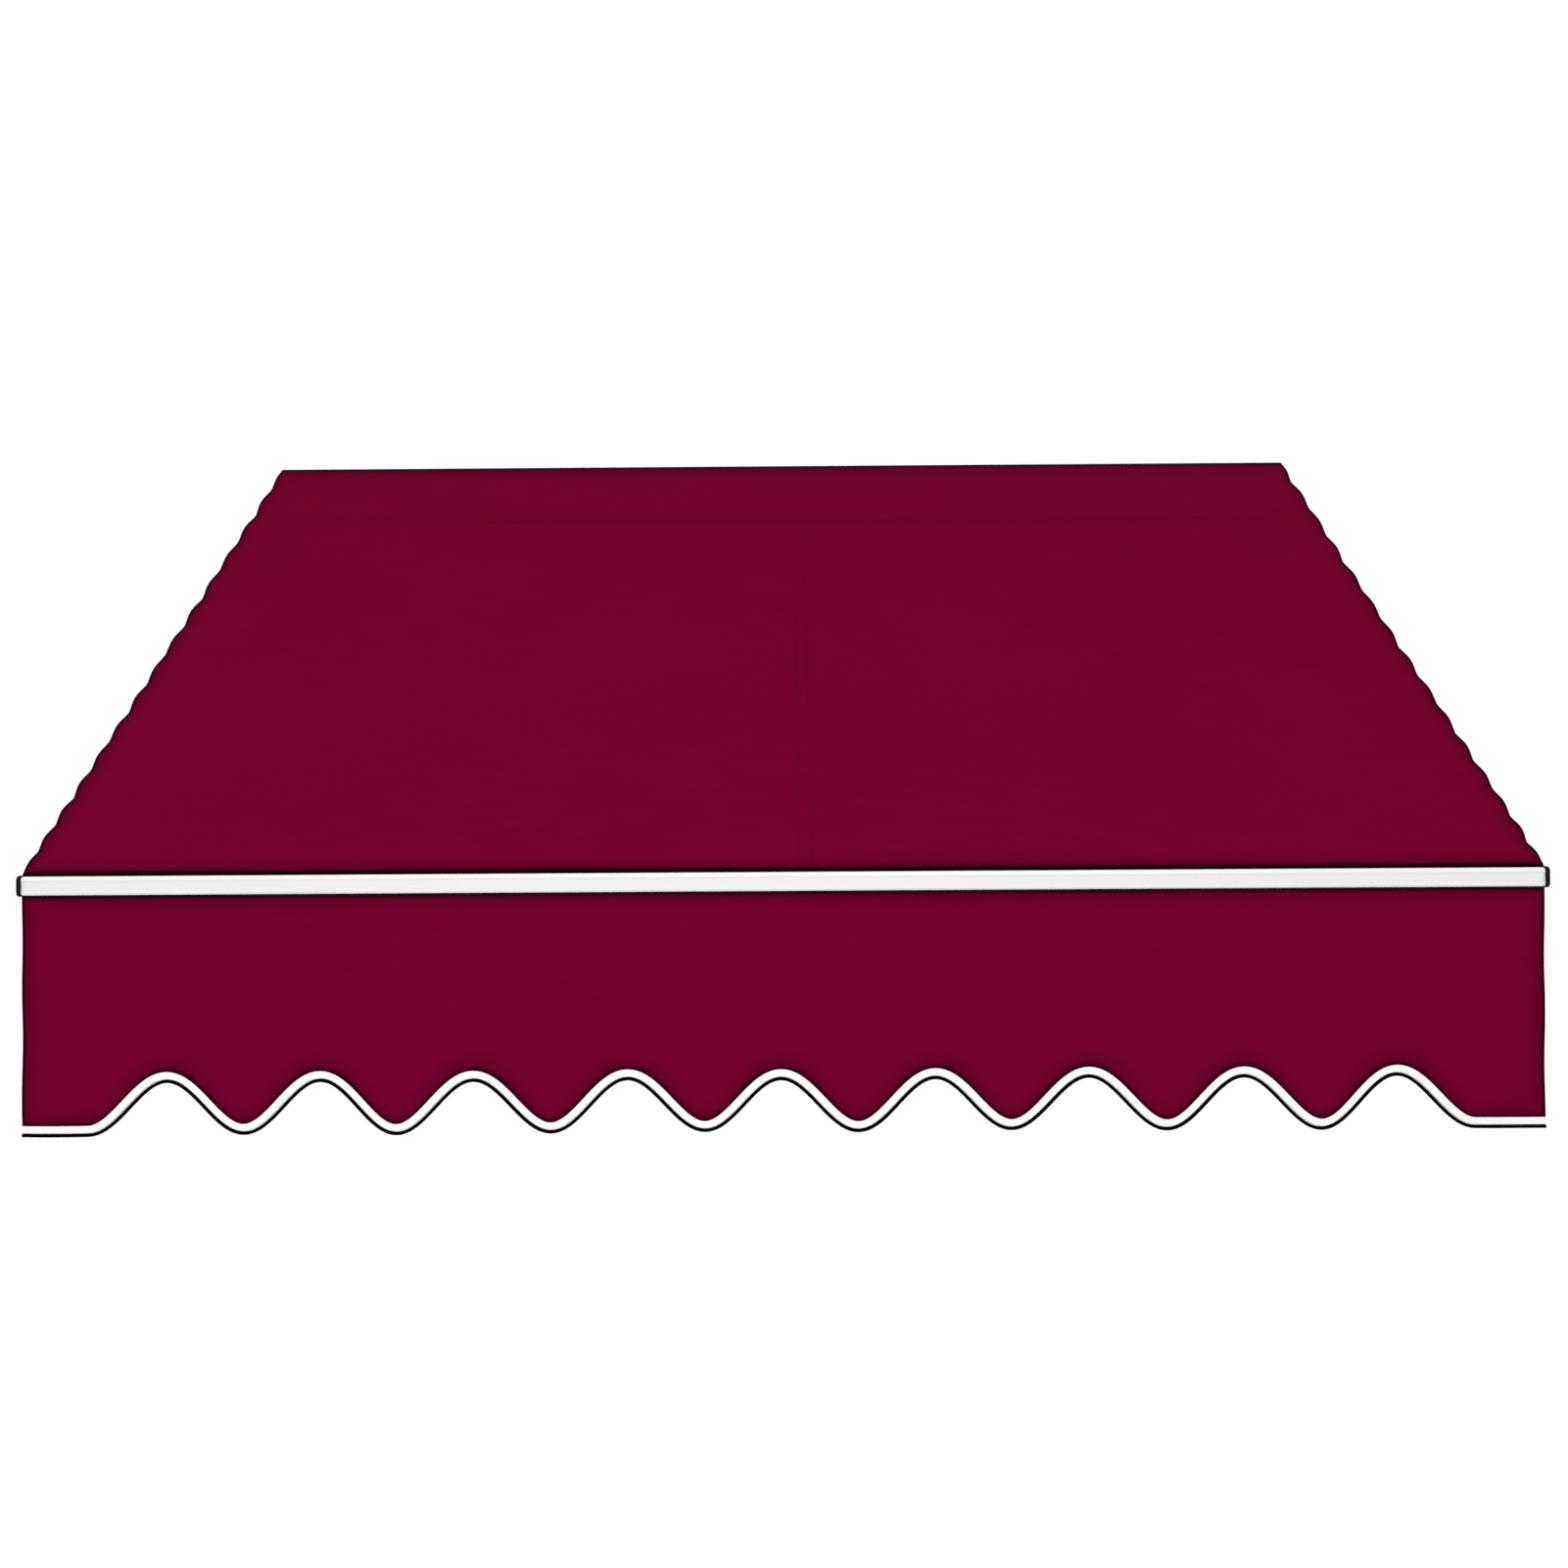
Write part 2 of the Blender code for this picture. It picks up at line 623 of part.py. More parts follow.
def grown_rail(growth):
    """The rail's four corner arcs moved out by a growth, about the rail's centre."""
    return rounded_box(
        RAIL_DEPTH / 2 + growth,
        RAIL_HEIGHT / 2 + growth,
        RAIL_FRONT_ROUND + growth,
        RAIL_BACK_ROUND + growth,
    )


def add_domed_plate(bm, outline, near, sign):
    """A plate with a low dome: its outline rises by a sine and shrinks to its middle by a cosine."""
    levels = [(0, 1), (CAP_THICK, 1)]
    for k in range(1, CAP_CROWN_STEPS):
        angle = math.pi / 2 * k / CAP_CROWN_STEPS
        levels.append((CAP_THICK + CAP_CROWN * math.sin(angle), math.cos(angle)))
    levels.append((CAP_THICK + CAP_CROWN, 1 / (4 * CAP_CROWN_STEPS)))
    rings = []
    for rise, scale in levels:
        place = sign * (near + rise)
        rings.append([bm.verts.new((place, RAIL_MIDDLE + y * scale, z * scale - RISE)) for y, z in outline])
    bm.faces.new(rings[0])
    bm.faces.new(rings[-1][::-1])
    for lower, upper in zip(rings, rings[1:]):
        for k in range(len(outline)):
            bm.faces.new((lower[k - 1], lower[k], upper[k], upper[k - 1]))


def cap_lip_outline():
    """The cap's lip over the rail's front: its outside top to bottom, then its inside back up."""
    _, outer_top, outer_low, _ = grown_rail(CAP_PROUD)
    _, inner_top, inner_low, _ = grown_rail(SEAT_GAP)
    outline = outer_top + outer_low + (inner_top + inner_low)[::-1]
    return [(y + RAIL_MIDDLE, z - RISE) for y, z in outline]


def make_end_caps(hinge):
    """Push-in domed end caps, each with a lip over the rail's front and a peg in its hollow."""
    outline = [point for corner in grown_rail(CAP_PROUD) for point in corner]
    near = RAIL_HALF_LENGTH + SEAT_GAP
    for side, sign in SIDES.items():
        bm = bmesh.new()
        add_domed_plate(bm, outline, near, sign)
        cap = solid(f"rail_end_cap_{side}", bm, "black_plastic", hinge)
        low, high = sorted((sign * (near - CAP_LIP), sign * (near + CAP_THICK / 2)))
        bm = bmesh.new()
        add_prism(bm, cap_lip_outline(), low, high)
        shape_by(cap, tool_body(f"cap_lip_{side}", bm, hinge), "UNION")
        low, high = sorted((sign * (near - CAP_PEG), sign * (near + CAP_THICK / 2)))
        bm = bmesh.new()
        add_chamber(bm, SEAT_GAP, low, high)
        shape_by(cap, tool_body(f"cap_peg_{side}", bm, hinge), "UNION")


def make_splines(hinge):
    """Round splines inside the cloth's beads."""
    half = HALF_WIDTH - SEAT_GAP
    for name, height in (("roof_spline", UPPER_CHANNEL), ("valance_spline", LOWER_CHANNEL)):
        bm = bmesh.new()
        add_cylinder(bm, (-half, -RAIL_OUT, height), (1, 0, 0), SPLINE_RADIUS, 2 * half)
        solid(name, bm, "clear_spline", hinge)


def lower_edge(x):
    """Height and slope of the valance's bottom fold: arches between two flat ends."""
    turn = 2 * math.pi / SCALLOP_PITCH
    from_start = x - SCALLOPS_START
    if not 0 < from_start < SCALLOPS * SCALLOP_PITCH:
        return FLAT_BOTTOM, 0.0
    height = FLAT_BOTTOM + SCALLOP_DEPTH * (1 - math.cos(turn * from_start)) / 2
    return height, SCALLOP_DEPTH * turn * math.sin(turn * from_start) / 2


def edge_places():
    """Xs along the valance's lower edge, with those of the seam in place of the ones nearest it."""
    step = SCALLOP_PITCH / SCALLOP_STEPS
    arches = [SCALLOPS_START + k * step for k in range(SCALLOPS * SCALLOP_STEPS + 1)]
    clear = SEAM_WIDTH / 2 + 2 * SEAM_STEP
    arches = [x for x in arches if abs(x - SEAM_PLACE) > clear]
    return sorted(arches + [x for x, _, _ in seam_columns()])


def make_valance(hinge):
    """The hanging cloth, beaded at the top and scalloped along the bottom."""
    columns = seam_columns()
    seam_xs = [x for x, _, _ in columns]
    rows = [(y, z, 0, 0, 0) for y, z in bead_loop((-RAIL_OUT, LOWER_CHANNEL), -1)]
    rows += [
        (-RAIL_OUT, RAIL_BOTTOM - SEAM_STEP, 0, 0, 0),
        (-RAIL_OUT, RAIL_BOTTOM - 2 * SEAM_STEP, 0, 0, 1),
    ]
    bm = bmesh.new()
    outer, inner = add_cloth(bm, rows, columns)
    close_cloth_end(bm, outer[0], inner[0])
    xs = edge_places()
    tuck = BINDING_TAPE + 2 * SEAT_GAP
    below = {}
    for x in xs:
        height, slope = lower_edge(x)
        in_band = abs(x - SEAM_PLACE) < (SEAM_WIDTH + SEAM_STEP) / 2
        front = CLOTH / 2 + SEAM_RISE * in_band
        z = height + tuck * math.hypot(1, slope)
        pair = [(x, -RAIL_OUT - front, z), (x, -RAIL_OUT + CLOTH / 2, z)]
        below[x] = [bm.verts.new(corner) for corner in pair]
    front_row, back_row = outer[-1], inner[-1]
    for m in range(len(seam_xs) - 1):
        between = [x for x in xs if seam_xs[m] <= x <= seam_xs[m + 1]]
        for top, which in ((front_row, 0), (back_row, 1)):
            bm.faces.new([top[m], top[m + 1]] + [below[x][which] for x in reversed(between)])
    for left, right in zip(xs, xs[1:]):
        bm.faces.new((below[left][0], below[right][0], below[right][1], below[left][1]))
    for m, x in ((0, xs[0]), (-1, xs[-1])):
        bm.faces.new((front_row[m], back_row[m], below[x][1], below[x][0]))
    solid("valance", bm, "burgundy_canvas", hinge)


def sweep_along_edge(name, section, finish, hinge):
    """A solid with an even section of (depth, height off the fold) along the valance's lower edge."""
    bm = bmesh.new()
    rings = []
    for x in edge_places():
        height, slope = lower_edge(x)
        size = math.hypot(1, slope)
        ring = []
        for depth, lift in section:
            place = (x - lift * slope / size, -RAIL_OUT + depth, height + lift / size)
            ring.append(bm.verts.new(place))
        rings.append(ring)
    for near, far in zip(rings, rings[1:]):
        for k in range(len(section)):
            bm.faces.new((near[k - 1], near[k], far[k], far[k - 1]))
    bm.faces.new(rings[0])
    bm.faces.new(rings[-1][::-1])
    solid(name, bm, finish, hinge)


def make_edging(hinge):
    """Binding tape folded over the scalloped edge, and the piping below it."""
    outside = TAPE_INSIDE + BINDING_TAPE
    tape = [
        (-outside, BINDING_WIDTH),
        (-outside, 0),
        (outside, 0),
        (outside, BINDING_WIDTH),
        (TAPE_INSIDE, BINDING_WIDTH),
        (TAPE_INSIDE, BINDING_TAPE),
        (-TAPE_INSIDE, BINDING_TAPE),
        (-TAPE_INSIDE, BINDING_WIDTH),
    ]
    sweep_along_edge("valance_binding", tape, "white_tape", hinge)
    half_side = 180 / PIPING_SIDES
    centre = (0, -SEAT_GAP - PIPING_RADIUS)
    piping = arc(centre, PIPING_RADIUS, half_side, 360 - half_side, PIPING_SIDES - 1)
    sweep_along_edge("valance_piping", piping, "dark_piping", hinge)


def d_shape(pin, toward, radius, length):
    """A side outline rounded about a pin, with its straight end a length away along Y."""
    start = 90 if toward > 0 else -90
    round_end = arc(pin, radius, start, start + 180, LUG_STEPS)
    end = pin[0] + toward * length
    return round_end + [(end, round_end[-1][1]), (end, round_end[0][1])]


def make_clevis(name, x, base_low, base_high, pin_y, lug_run, holes, finish, hinge=None):
    """Two lugs on a flat base, with a pin hole through both and screw holes in the base."""
    bm = bmesh.new()
    add_box(bm, base_low, base_high)
    clevis = solid(name, bm, finish, hinge)
    bm = bmesh.new()
    inside = EYE_THICK / 2 + LUG_SIDE_GAP
    outline = d_shape((pin_y, -RISE), lug_run[0], LUG_RADIUS, lug_run[1])
    add_prism(bm, outline, x - inside - LUG_THICK, x - inside)
    add_prism(bm, outline, x + inside, x + inside + LUG_THICK)
    shape_by(clevis, tool_body(f"{name}_lugs", bm, hinge), "UNION")
    bm = bmesh.new()
    start = (x - CLEVIS_HALF - LUG_THICK, pin_y, -RISE)
    through = 2 * CLEVIS_HALF + 2 * LUG_THICK
    add_cylinder(bm, start, (1, 0, 0), PIN_RADIUS + PIN_HOLE_GAP, through, ROUND_SIDES)
    shape_by(clevis, tool_body(f"{name}_pin_hole", bm, hinge), "DIFFERENCE")
    shape_by(clevis, holes, "DIFFERENCE")


def make_arm_plates():
    """Wall plates with lugs, and their screws."""
    holes = bmesh.new()
    offsets = {"low": -PLATE_HOLE_SPREAD / 2, "high": PLATE_HOLE_SPREAD / 2}
    for side, sign in SIDES.items():
        for level, offset in offsets.items():
            start = (sign * ARM_PLACE, -2 * PLATE_THICK, -RISE + offset)
            add_cylinder(holes, start, (0, 1, 0), WALL_SCREW_RADIUS + SEAT_GAP, 4 * PLATE_THICK)
            seat = (sign * ARM_PLACE, -PLATE_THICK - SEAT_GAP, -RISE + offset)
            screw = f"arm_plate_screw_{side}_{level}"
            make_screw(screw, seat, (0, 1, 0), WALL_SCREW_RADIUS, WALL_SCREW_LENGTH)
    hole_guide = tool_body("plate_screw_holes", holes)
    for side, sign in SIDES.items():
        x = sign * ARM_PLACE
        low = (x - PLATE_WIDTH / 2, -PLATE_THICK, -RISE - PLATE_HEIGHT / 2)
        high = (x + PLATE_WIDTH / 2, 0, -RISE + PLATE_HEIGHT / 2)
        lug_run = (1, PLATE_REACH + PLATE_THICK / 2)
        make_clevis(f"arm_plate_{side}", x, low, high, WALL_PIN_Y, lug_run, hole_guide, "white_coat")


def make_knuckles(hinge):
    """Lugs on the rail's back, and their screws."""
    for which, place in knuckle_screw_places().items():
        seat = (place, KNUCKLE_FACE + KNUCKLE_THICK + SEAT_GAP, -RISE)
        length = KNUCKLE_THICK + RAIL_WALL + SMALL_SCREW_BITE
        make_screw(f"knuckle_screw_{which}", seat, (0, -1, 0), SMALL_SCREW_RADIUS, length, hinge)
    holes = bpy.data.objects["knuckle_screw_holes"]
    half_high = RAIL_HEIGHT / 2 - RAIL_BACK_ROUND
    for side, sign in SIDES.items():
        x = sign * ARM_PLACE
        low = (x - KNUCKLE_WIDTH / 2, KNUCKLE_FACE, -RISE - half_high)
        high = (x + KNUCKLE_WIDTH / 2, KNUCKLE_FACE + KNUCKLE_THICK, -RISE + half_high)
        lug_run = (-1, KNUCKLE_REACH + KNUCKLE_THICK / 2)
        make_clevis(f"rail_knuckle_{side}", x, low, high, RAIL_PIN_Y, lug_run, holes, "white_coat", hinge)


def make_pins(group, pin_y, carrier):
    """A headed pin through each hinge, its head outside, and a nut on its inner end."""
    length = 2 * CLEVIS_HALF + 2 * SEAT_GAP + NUT_THICK + SEAT_GAP
    for side, sign in SIDES.items():
        seat = (sign * (ARM_PLACE + CLEVIS_HALF + SEAT_GAP), pin_y, -RISE)
        profile = [
            (PIN_HEAD_RADIUS - SEAT_GAP, -PIN_HEAD_THICK),
            (PIN_HEAD_RADIUS, -PIN_HEAD_THICK / 2),
            (PIN_HEAD_RADIUS, 0),
            (PIN_RADIUS, 0),
            (PIN_RADIUS, length),
        ]
        bm = bmesh.new()
        add_turned(bm, seat, (-sign, 0, 0), profile, ROUND_SIDES)
        solid(f"{group}_pin_{side}", bm, "zinc_steel", carrier)
        inner = (sign * (ARM_PLACE - CLEVIS_HALF - SEAT_GAP), pin_y, -RISE)
        bm = bmesh.new()
        add_cylinder(bm, inner, (-sign, 0, 0), NUT_RADIUS, NUT_THICK, NUT_SIDES)
        nut = solid(f"{group}_pin_nut_{side}", bm, "zinc_steel", carrier)
        bm = bmesh.new()
        start = (inner[0] + sign * NUT_THICK, pin_y, -RISE)
        add_cylinder(bm, start, (-sign, 0, 0), PIN_RADIUS + SEAT_GAP, 3 * NUT_THICK, ROUND_SIDES)
        shape_by(nut, tool_body(f"{group}_nut_bore_{side}", bm, carrier), "DIFFERENCE")


def make_eye(name, x, pin_y, toward, rivet_holes, hinge):
    """A flat eye on a spigot that plugs the arm tube."""
    bm = bmesh.new()
    outline = d_shape((pin_y, -RISE), toward, EYE_RADIUS, EYE_LENGTH)
    add_prism(bm, outline, x - EYE_THICK / 2, x + EYE_THICK / 2)
    eye = solid(name, bm, "zinc_steel", hinge)
    radius = ARM_RADIUS - ARM_WALL - SEAT_GAP
    bm = bmesh.new()
    root = (x, pin_y + toward * (EYE_LENGTH - ARM_WALL), -RISE)
    add_cylinder(bm, root, (0, toward, 0), radius, SPIGOT_LENGTH + ARM_WALL, ROUND_SIDES)
    shape_by(eye, tool_body(f"{name}_spigot", bm, hinge), "UNION")
    bm = bmesh.new()
    start = (x - EYE_THICK, pin_y, -RISE)
    add_cylinder(bm, start, (1, 0, 0), PIN_RADIUS + PIN_HOLE_GAP, 2 * EYE_THICK, ROUND_SIDES)
    shape_by(eye, tool_body(f"{name}_pin_hole", bm, hinge), "DIFFERENCE")
    shape_by(eye, rivet_holes, "DIFFERENCE")


def make_side_arms(hinge):
    """Two arm tubes with an eye riveted into each end."""
    ends = {"wall": (WALL_PIN_Y, -1), "front": (RAIL_PIN_Y, 1)}
    holes = bmesh.new()
    for end, (pin_y, toward) in ends.items():
        y = pin_y + toward * (EYE_LENGTH + SEAT_GAP + SPIGOT_LENGTH / 2)
        for side, sign in SIDES.items():
            x = sign * ARM_PLACE
            start = (x - 2 * ARM_RADIUS, y, -RISE)
            add_cylinder(holes, start, (1, 0, 0), RIVET_RADIUS + SEAT_GAP, 4 * ARM_RADIUS)
            reach = ARM_RADIUS + SEAT_GAP
            profile = [
                (RIVET_RADIUS, -reach - RIVET_RADIUS),
                (2 * RIVET_RADIUS, -reach - RIVET_RADIUS / 2),
                (2 * RIVET_RADIUS, -reach),
                (RIVET_RADIUS, -reach),
                (RIVET_RADIUS, reach),
                (2 * RIVET_RADIUS, reach),
                (2 * RIVET_RADIUS, reach + RIVET_RADIUS / 2),
                (RIVET_RADIUS, reach + RIVET_RADIUS),
            ]
            bm = bmesh.new()
            add_turned(bm, (x, y, -RISE), (1, 0, 0), profile)
            solid(f"arm_{end}_rivet_{side}", bm, "zinc_steel", hinge)
    hole_guide = tool_body("rivet_holes", holes, hinge)
    front_end = RAIL_PIN_Y + EYE_LENGTH + SEAT_GAP
    length = WALL_PIN_Y - EYE_LENGTH - SEAT_GAP - front_end
    bore = ARM_RADIUS - ARM_WALL
    for side, sign in SIDES.items():
        x = sign * ARM_PLACE
        bm = bmesh.new()
        profile = [(ARM_RADIUS, 0), (ARM_RADIUS, length), (bore, length), (bore, 0)]
        add_turned(bm, (x, front_end, -RISE), (0, 1, 0), profile, ROUND_SIDES, hollow=True)
        arm = solid(f"arm_{side}", bm, "white_coat", hinge)
        shape_by(arm, hole_guide, "DIFFERENCE")
        for end, (pin_y, toward) in ends.items():
            make_eye(f"arm_{end}_eye_{side}", x, pin_y, toward, hole_guide, hinge)


for leftover in list(bpy.data.objects):
    bpy.data.objects.remove(leftover)

wall_hinge = axis_empty("wall_hinge_axis", WALL_PIN_Y)
rail_hinge = axis_empty("rail_hinge_axis", RAIL_PIN_Y)

make_head_rod()
make_head_brackets()
make_roof_cover()
make_arm_plates()
make_pins("wall", WALL_PIN_Y, None)
make_side_arms(wall_hinge)
make_front_rail(rail_hinge)
make_end_caps(rail_hinge)
make_knuckles(rail_hinge)
make_pins("rail", RAIL_PIN_Y, rail_hinge)
make_splines(rail_hinge)
make_valance(rail_hinge)
make_edging(rail_hinge)
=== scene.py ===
"""The window awning dressed for a picture: canvas, tape, thread, coated aluminium and zinc.

Metres. X runs along the wall, -Y leads out from the wall, Z is up, and the origin is on the
wall's surface behind the middle of the head rod.
"""
import math

import bpy
import numpy as np
from mathutils import Matrix, Vector


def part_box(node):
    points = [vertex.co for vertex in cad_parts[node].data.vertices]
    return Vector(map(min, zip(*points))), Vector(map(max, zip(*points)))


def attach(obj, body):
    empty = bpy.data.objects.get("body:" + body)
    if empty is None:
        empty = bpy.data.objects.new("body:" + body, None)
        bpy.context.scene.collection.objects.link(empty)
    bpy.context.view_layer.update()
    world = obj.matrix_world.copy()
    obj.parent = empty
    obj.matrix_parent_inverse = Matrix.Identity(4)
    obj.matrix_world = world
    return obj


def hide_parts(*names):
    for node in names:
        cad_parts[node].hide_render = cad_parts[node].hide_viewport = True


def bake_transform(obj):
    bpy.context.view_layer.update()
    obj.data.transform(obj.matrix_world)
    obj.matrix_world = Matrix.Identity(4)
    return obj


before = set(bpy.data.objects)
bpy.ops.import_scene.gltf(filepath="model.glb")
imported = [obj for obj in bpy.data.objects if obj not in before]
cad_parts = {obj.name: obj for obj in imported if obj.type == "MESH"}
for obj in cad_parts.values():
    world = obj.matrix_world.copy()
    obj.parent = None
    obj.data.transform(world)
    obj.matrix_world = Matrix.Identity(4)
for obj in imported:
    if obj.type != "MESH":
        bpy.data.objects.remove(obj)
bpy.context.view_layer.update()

# Sizes shared with the solids
HALF_WIDTH = 0.90
CLOTH = 0.0012
HEAD_HEM = 0.183
SEAM_PLACE = 0.029
SEAM_WIDTH = 0.020
SEAM_RISE = 0.0005
GATHERS = 14
GATHER_CLOSING = 0.42
WRAP_GAP = 0.0005
SEAT_GAP = 0.0003
SCALLOPS = 9
SCALLOP_FLAT_LEFT = 0.079
SCALLOP_FLAT_RIGHT = 0.083
SCALLOP_DEPTH = 0.062
BINDING_WIDTH = 0.009
BINDING_TAPE = 0.0008
SPLINE_RADIUS = 0.0018
BEAD_FILLET = 0.0012
BEAD_WRAP_DEG = 300
CHANNEL_DEPTH = 0.0056
CORNER_RUN = 0.002
NOTCH_HALF = 0.017
NOTCH_REACH = 0.0204
NOTCH_TOP = 0.0067

# Places read from the solids
rod_low, rod_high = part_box("head_rod")
ROD_RADIUS = (rod_high.z - rod_low.z) / 2
ROD_Y, ROD_Z = (rod_high.y + rod_low.y) / 2, (rod_high.z + rod_low.z) / 2
rail_low, rail_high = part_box("front_rail")
RAIL_BOTTOM, RAIL_TOP = rail_low.z, rail_high.z
CLOTH_Y = (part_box("roof_spline")[0].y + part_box("roof_spline")[1].y) / 2
BRACKETS = [
    sum(corner.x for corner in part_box(f"head_bracket_{place}")) / 2 for place in ("left", "centre", "right")
]
SCALLOPS_START = -HALF_WIDTH + SCALLOP_FLAT_LEFT
SCALLOPS_END = HALF_WIDTH - SCALLOP_FLAT_RIGHT
SCALLOP_PITCH = (SCALLOPS_END - SCALLOPS_START) / SCALLOPS
ROOF_CORNER = np.array([CLOTH_Y, RAIL_TOP + CORNER_RUN + CLOTH])

# The roof cloth. It is tauter than the solid, and its gathers are shallower, uneven and moved along the
# edge by up to a third of a gather, because that fits the photograph better
ROOF_SAG = 0.001
GATHER_DEPTH_AT_ROD = 0.0036
GATHER_DEPTH_AT_RAIL = 0.0020
GATHERS_LATE = 0.2
GATHERS_EXTRA = 0.55
GATHER_REACH = 0.060
GATHER_UNEVEN = 0.3
UNEVEN_TURN = 1.9
UNEVEN_SIDE = 1.4
TUCK_INSET = 0.0008
PUCKER_RISE = 0.0012
PUCKER_REACH = 0.035
PUCKER_FADE = 0.03
SIDE_HEM = 0.014
SIDE_HEM_RISE = 0.0003
HEM_DIP = 0.0005
HEM_DIP_REACH = 0.0016
SEAM_MARGIN = 0.0002
SEAM_STEP = 0.001
SEAM_STOP = 0.008

# The valance, 2 mm shorter than the solid, and its cord, 0.8 mm thicker as its top is behind the tape.
# Each wave is its share of the depth, its length and its phase
VALANCE_DROP = 0.281
FLAT_BOTTOM = RAIL_BOTTOM - VALANCE_DROP
# The black cord also stands for the line of shade under the binding: painted shade
PIPING_RADIUS = 0.0021
VALANCE_WAVE = 0.0028
WAVES = ((1.0, 0.47, 0.6), (0.5, 0.21, 2.0))
WAVE_FALL_POWER = 1.4
SIDE_DRIFT = 0.0006
DRIFT_REACH = 0.06
DRIFT_FALL = 0.08
DRIFT_LENGTH = 0.13
TAPE_LIP = 0.0003

# How far the canvas darkens from its edges, as painted shade: twice as far below the rod, a third as far on
# its back
SHADE_REACH = 0.024
RAIL_SHADE = 0.0008
INNER_SHADE = 3.0
TOP_SHADE_PLACE = -0.003
TOP_SHADE_SPREAD = 2.0

# Thread, drawn about twice as thick as real so that a stitch still shows
STITCH_LENGTH = 0.0038
STITCH_PITCH = 0.0052
STITCH_RADIUS = 0.00040
STITCH_INSET = 0.003
STITCH_MARGIN = 0.004
STITCH_START = 0.001
STITCH_BELOW_HEM = 0.002
TAPE_STITCH_START = 0.003
TAPE_STITCH_INSET = 0.002
HEAD_HEM_LINES = (HEAD_HEM - 0.022, HEAD_HEM - STITCH_INSET)


def unit(vectors):
    """Vectors divided by their own length."""
    return vectors / np.linalg.norm(vectors, axis=-1, keepdims=True)


def arc(centre, radius, start, end, steps):
    """Points at equal angles on a circle, from start to end in degrees, ends included."""
    angle = np.radians(np.linspace(start, end, steps + 1))
    return np.column_stack([centre[0] + radius * np.cos(angle), centre[1] + radius * np.sin(angle)])


# How closely the shapes are divided: distances from an edge, least gaps, and counts of steps and rows
EDGE_STEPS = np.array([0, 0.8, 1.6, 2.6, 4, 6, 8, 11, 15, 19, 24]) / 1000
HEM_STEPS = (0.0135, 0.0145, 0.03, 0.045)
MERGE_GAP = 0.00033
ROW_MARGIN = 0.0004
BEAD_STEPS = 20
FILLET_STEPS = 4
FOLD_STEPS = 10
WRAP_STEPS = 30
TUCK_STEPS = 9
CORNER_STEPS = 9
SLOPE_STEPS = 400
ROWS_PER_GATHER = 10
CURVE_ROWS = 34
HEM_ROWS = 9
HEM_ROWS_REACH = 0.004
HUMP_START = 0.80
HUMP_ROWS = 70
VALANCE_ROWS = 14
TAPED_ROW = 0.004
COLUMNS_PER_ARCH = 40
CORD_SIDES = 24
SHARP_DEG = 38
SEAM_SIDES = (SEAM_PLACE - SEAM_WIDTH / 2, SEAM_PLACE + SEAM_WIDTH / 2)


def steps_from(*spans):
    """Sorted positions from (start, end, count) spans, those closer than a third of a mm merged."""
    places = np.sort(np.concatenate([np.linspace(low, high, count) for low, high, count in spans]))
    keep = np.concatenate([[True], np.diff(places) > MERGE_GAP])
    return places[keep]


def single(places):
    """A span of one position for each place."""
    return [(place, place, 1) for place in places]


def from_sides(distances):
    """Spans of one position for each distance in from both side edges."""
    return single([sign * (HALF_WIDTH - a) for a in distances for sign in (-1, 1)])


def bead(centre, out):
    """Cloth wrapped round a spline: a circle of 300 degrees, then a small fillet into the slot."""
    radius = SPLINE_RADIUS + WRAP_GAP + CLOTH / 2
    height = math.sqrt(radius**2 + 2 * radius * BEAD_FILLET)
    meet = math.degrees(math.atan2(height, BEAD_FILLET))
    loop = arc((0, 0), radius, meet - BEAD_WRAP_DEG, meet, BEAD_STEPS)
    fillet = arc((BEAD_FILLET, height), BEAD_FILLET, 180 + meet, 180, FILLET_STEPS)[1:]
    line = np.vstack([loop, fillet])
    return np.array(centre) + line * (1, out)


def tangent_angle(point, radius, side):
    """Angle on a circle round the rod where a straight line from a point touches it."""
    run, rise = point[0] - ROD_Y, point[1] - ROD_Z
    turn = math.atan2(rise, run) + side * math.acos(radius / math.hypot(run, rise))
    return math.degrees(turn) % 360


WRAP_RADIUS = ROD_RADIUS + WRAP_GAP + CLOTH / 2
TOP_DEG = tangent_angle(ROOF_CORNER, WRAP_RADIUS, -1)
SLOPE_START = arc((ROD_Y, ROD_Z), WRAP_RADIUS, TOP_DEG, TOP_DEG, 1)[0]
SLOPE_WAY = unit(ROOF_CORNER - SLOPE_START)
SLOPE_OUT = np.array([SLOPE_WAY[1], -SLOPE_WAY[0]])
SLOPE_LENGTH = float(np.linalg.norm(ROOF_CORNER - SLOPE_START)) - CORNER_RUN


def slope_points(distance, below=0.0):
    """Points down the slope: a straight line minus a parabola of ROOF_SAG at its middle."""
    share = np.asarray(distance) / SLOPE_LENGTH
    drop = below + 4 * ROOF_SAG * share * (1 - share)
    return SLOPE_START + np.multiply.outer(distance, SLOPE_WAY) - np.multiply.outer(drop, SLOPE_OUT)


TUCKED_END = slope_points(HEAD_HEM, CLOTH + SEAT_GAP)
WRAP_DEG = tangent_angle(TUCKED_END, WRAP_RADIUS, 1) - 360
WRAP_LENGTH = WRAP_RADIUS * math.radians(TOP_DEG - WRAP_DEG)


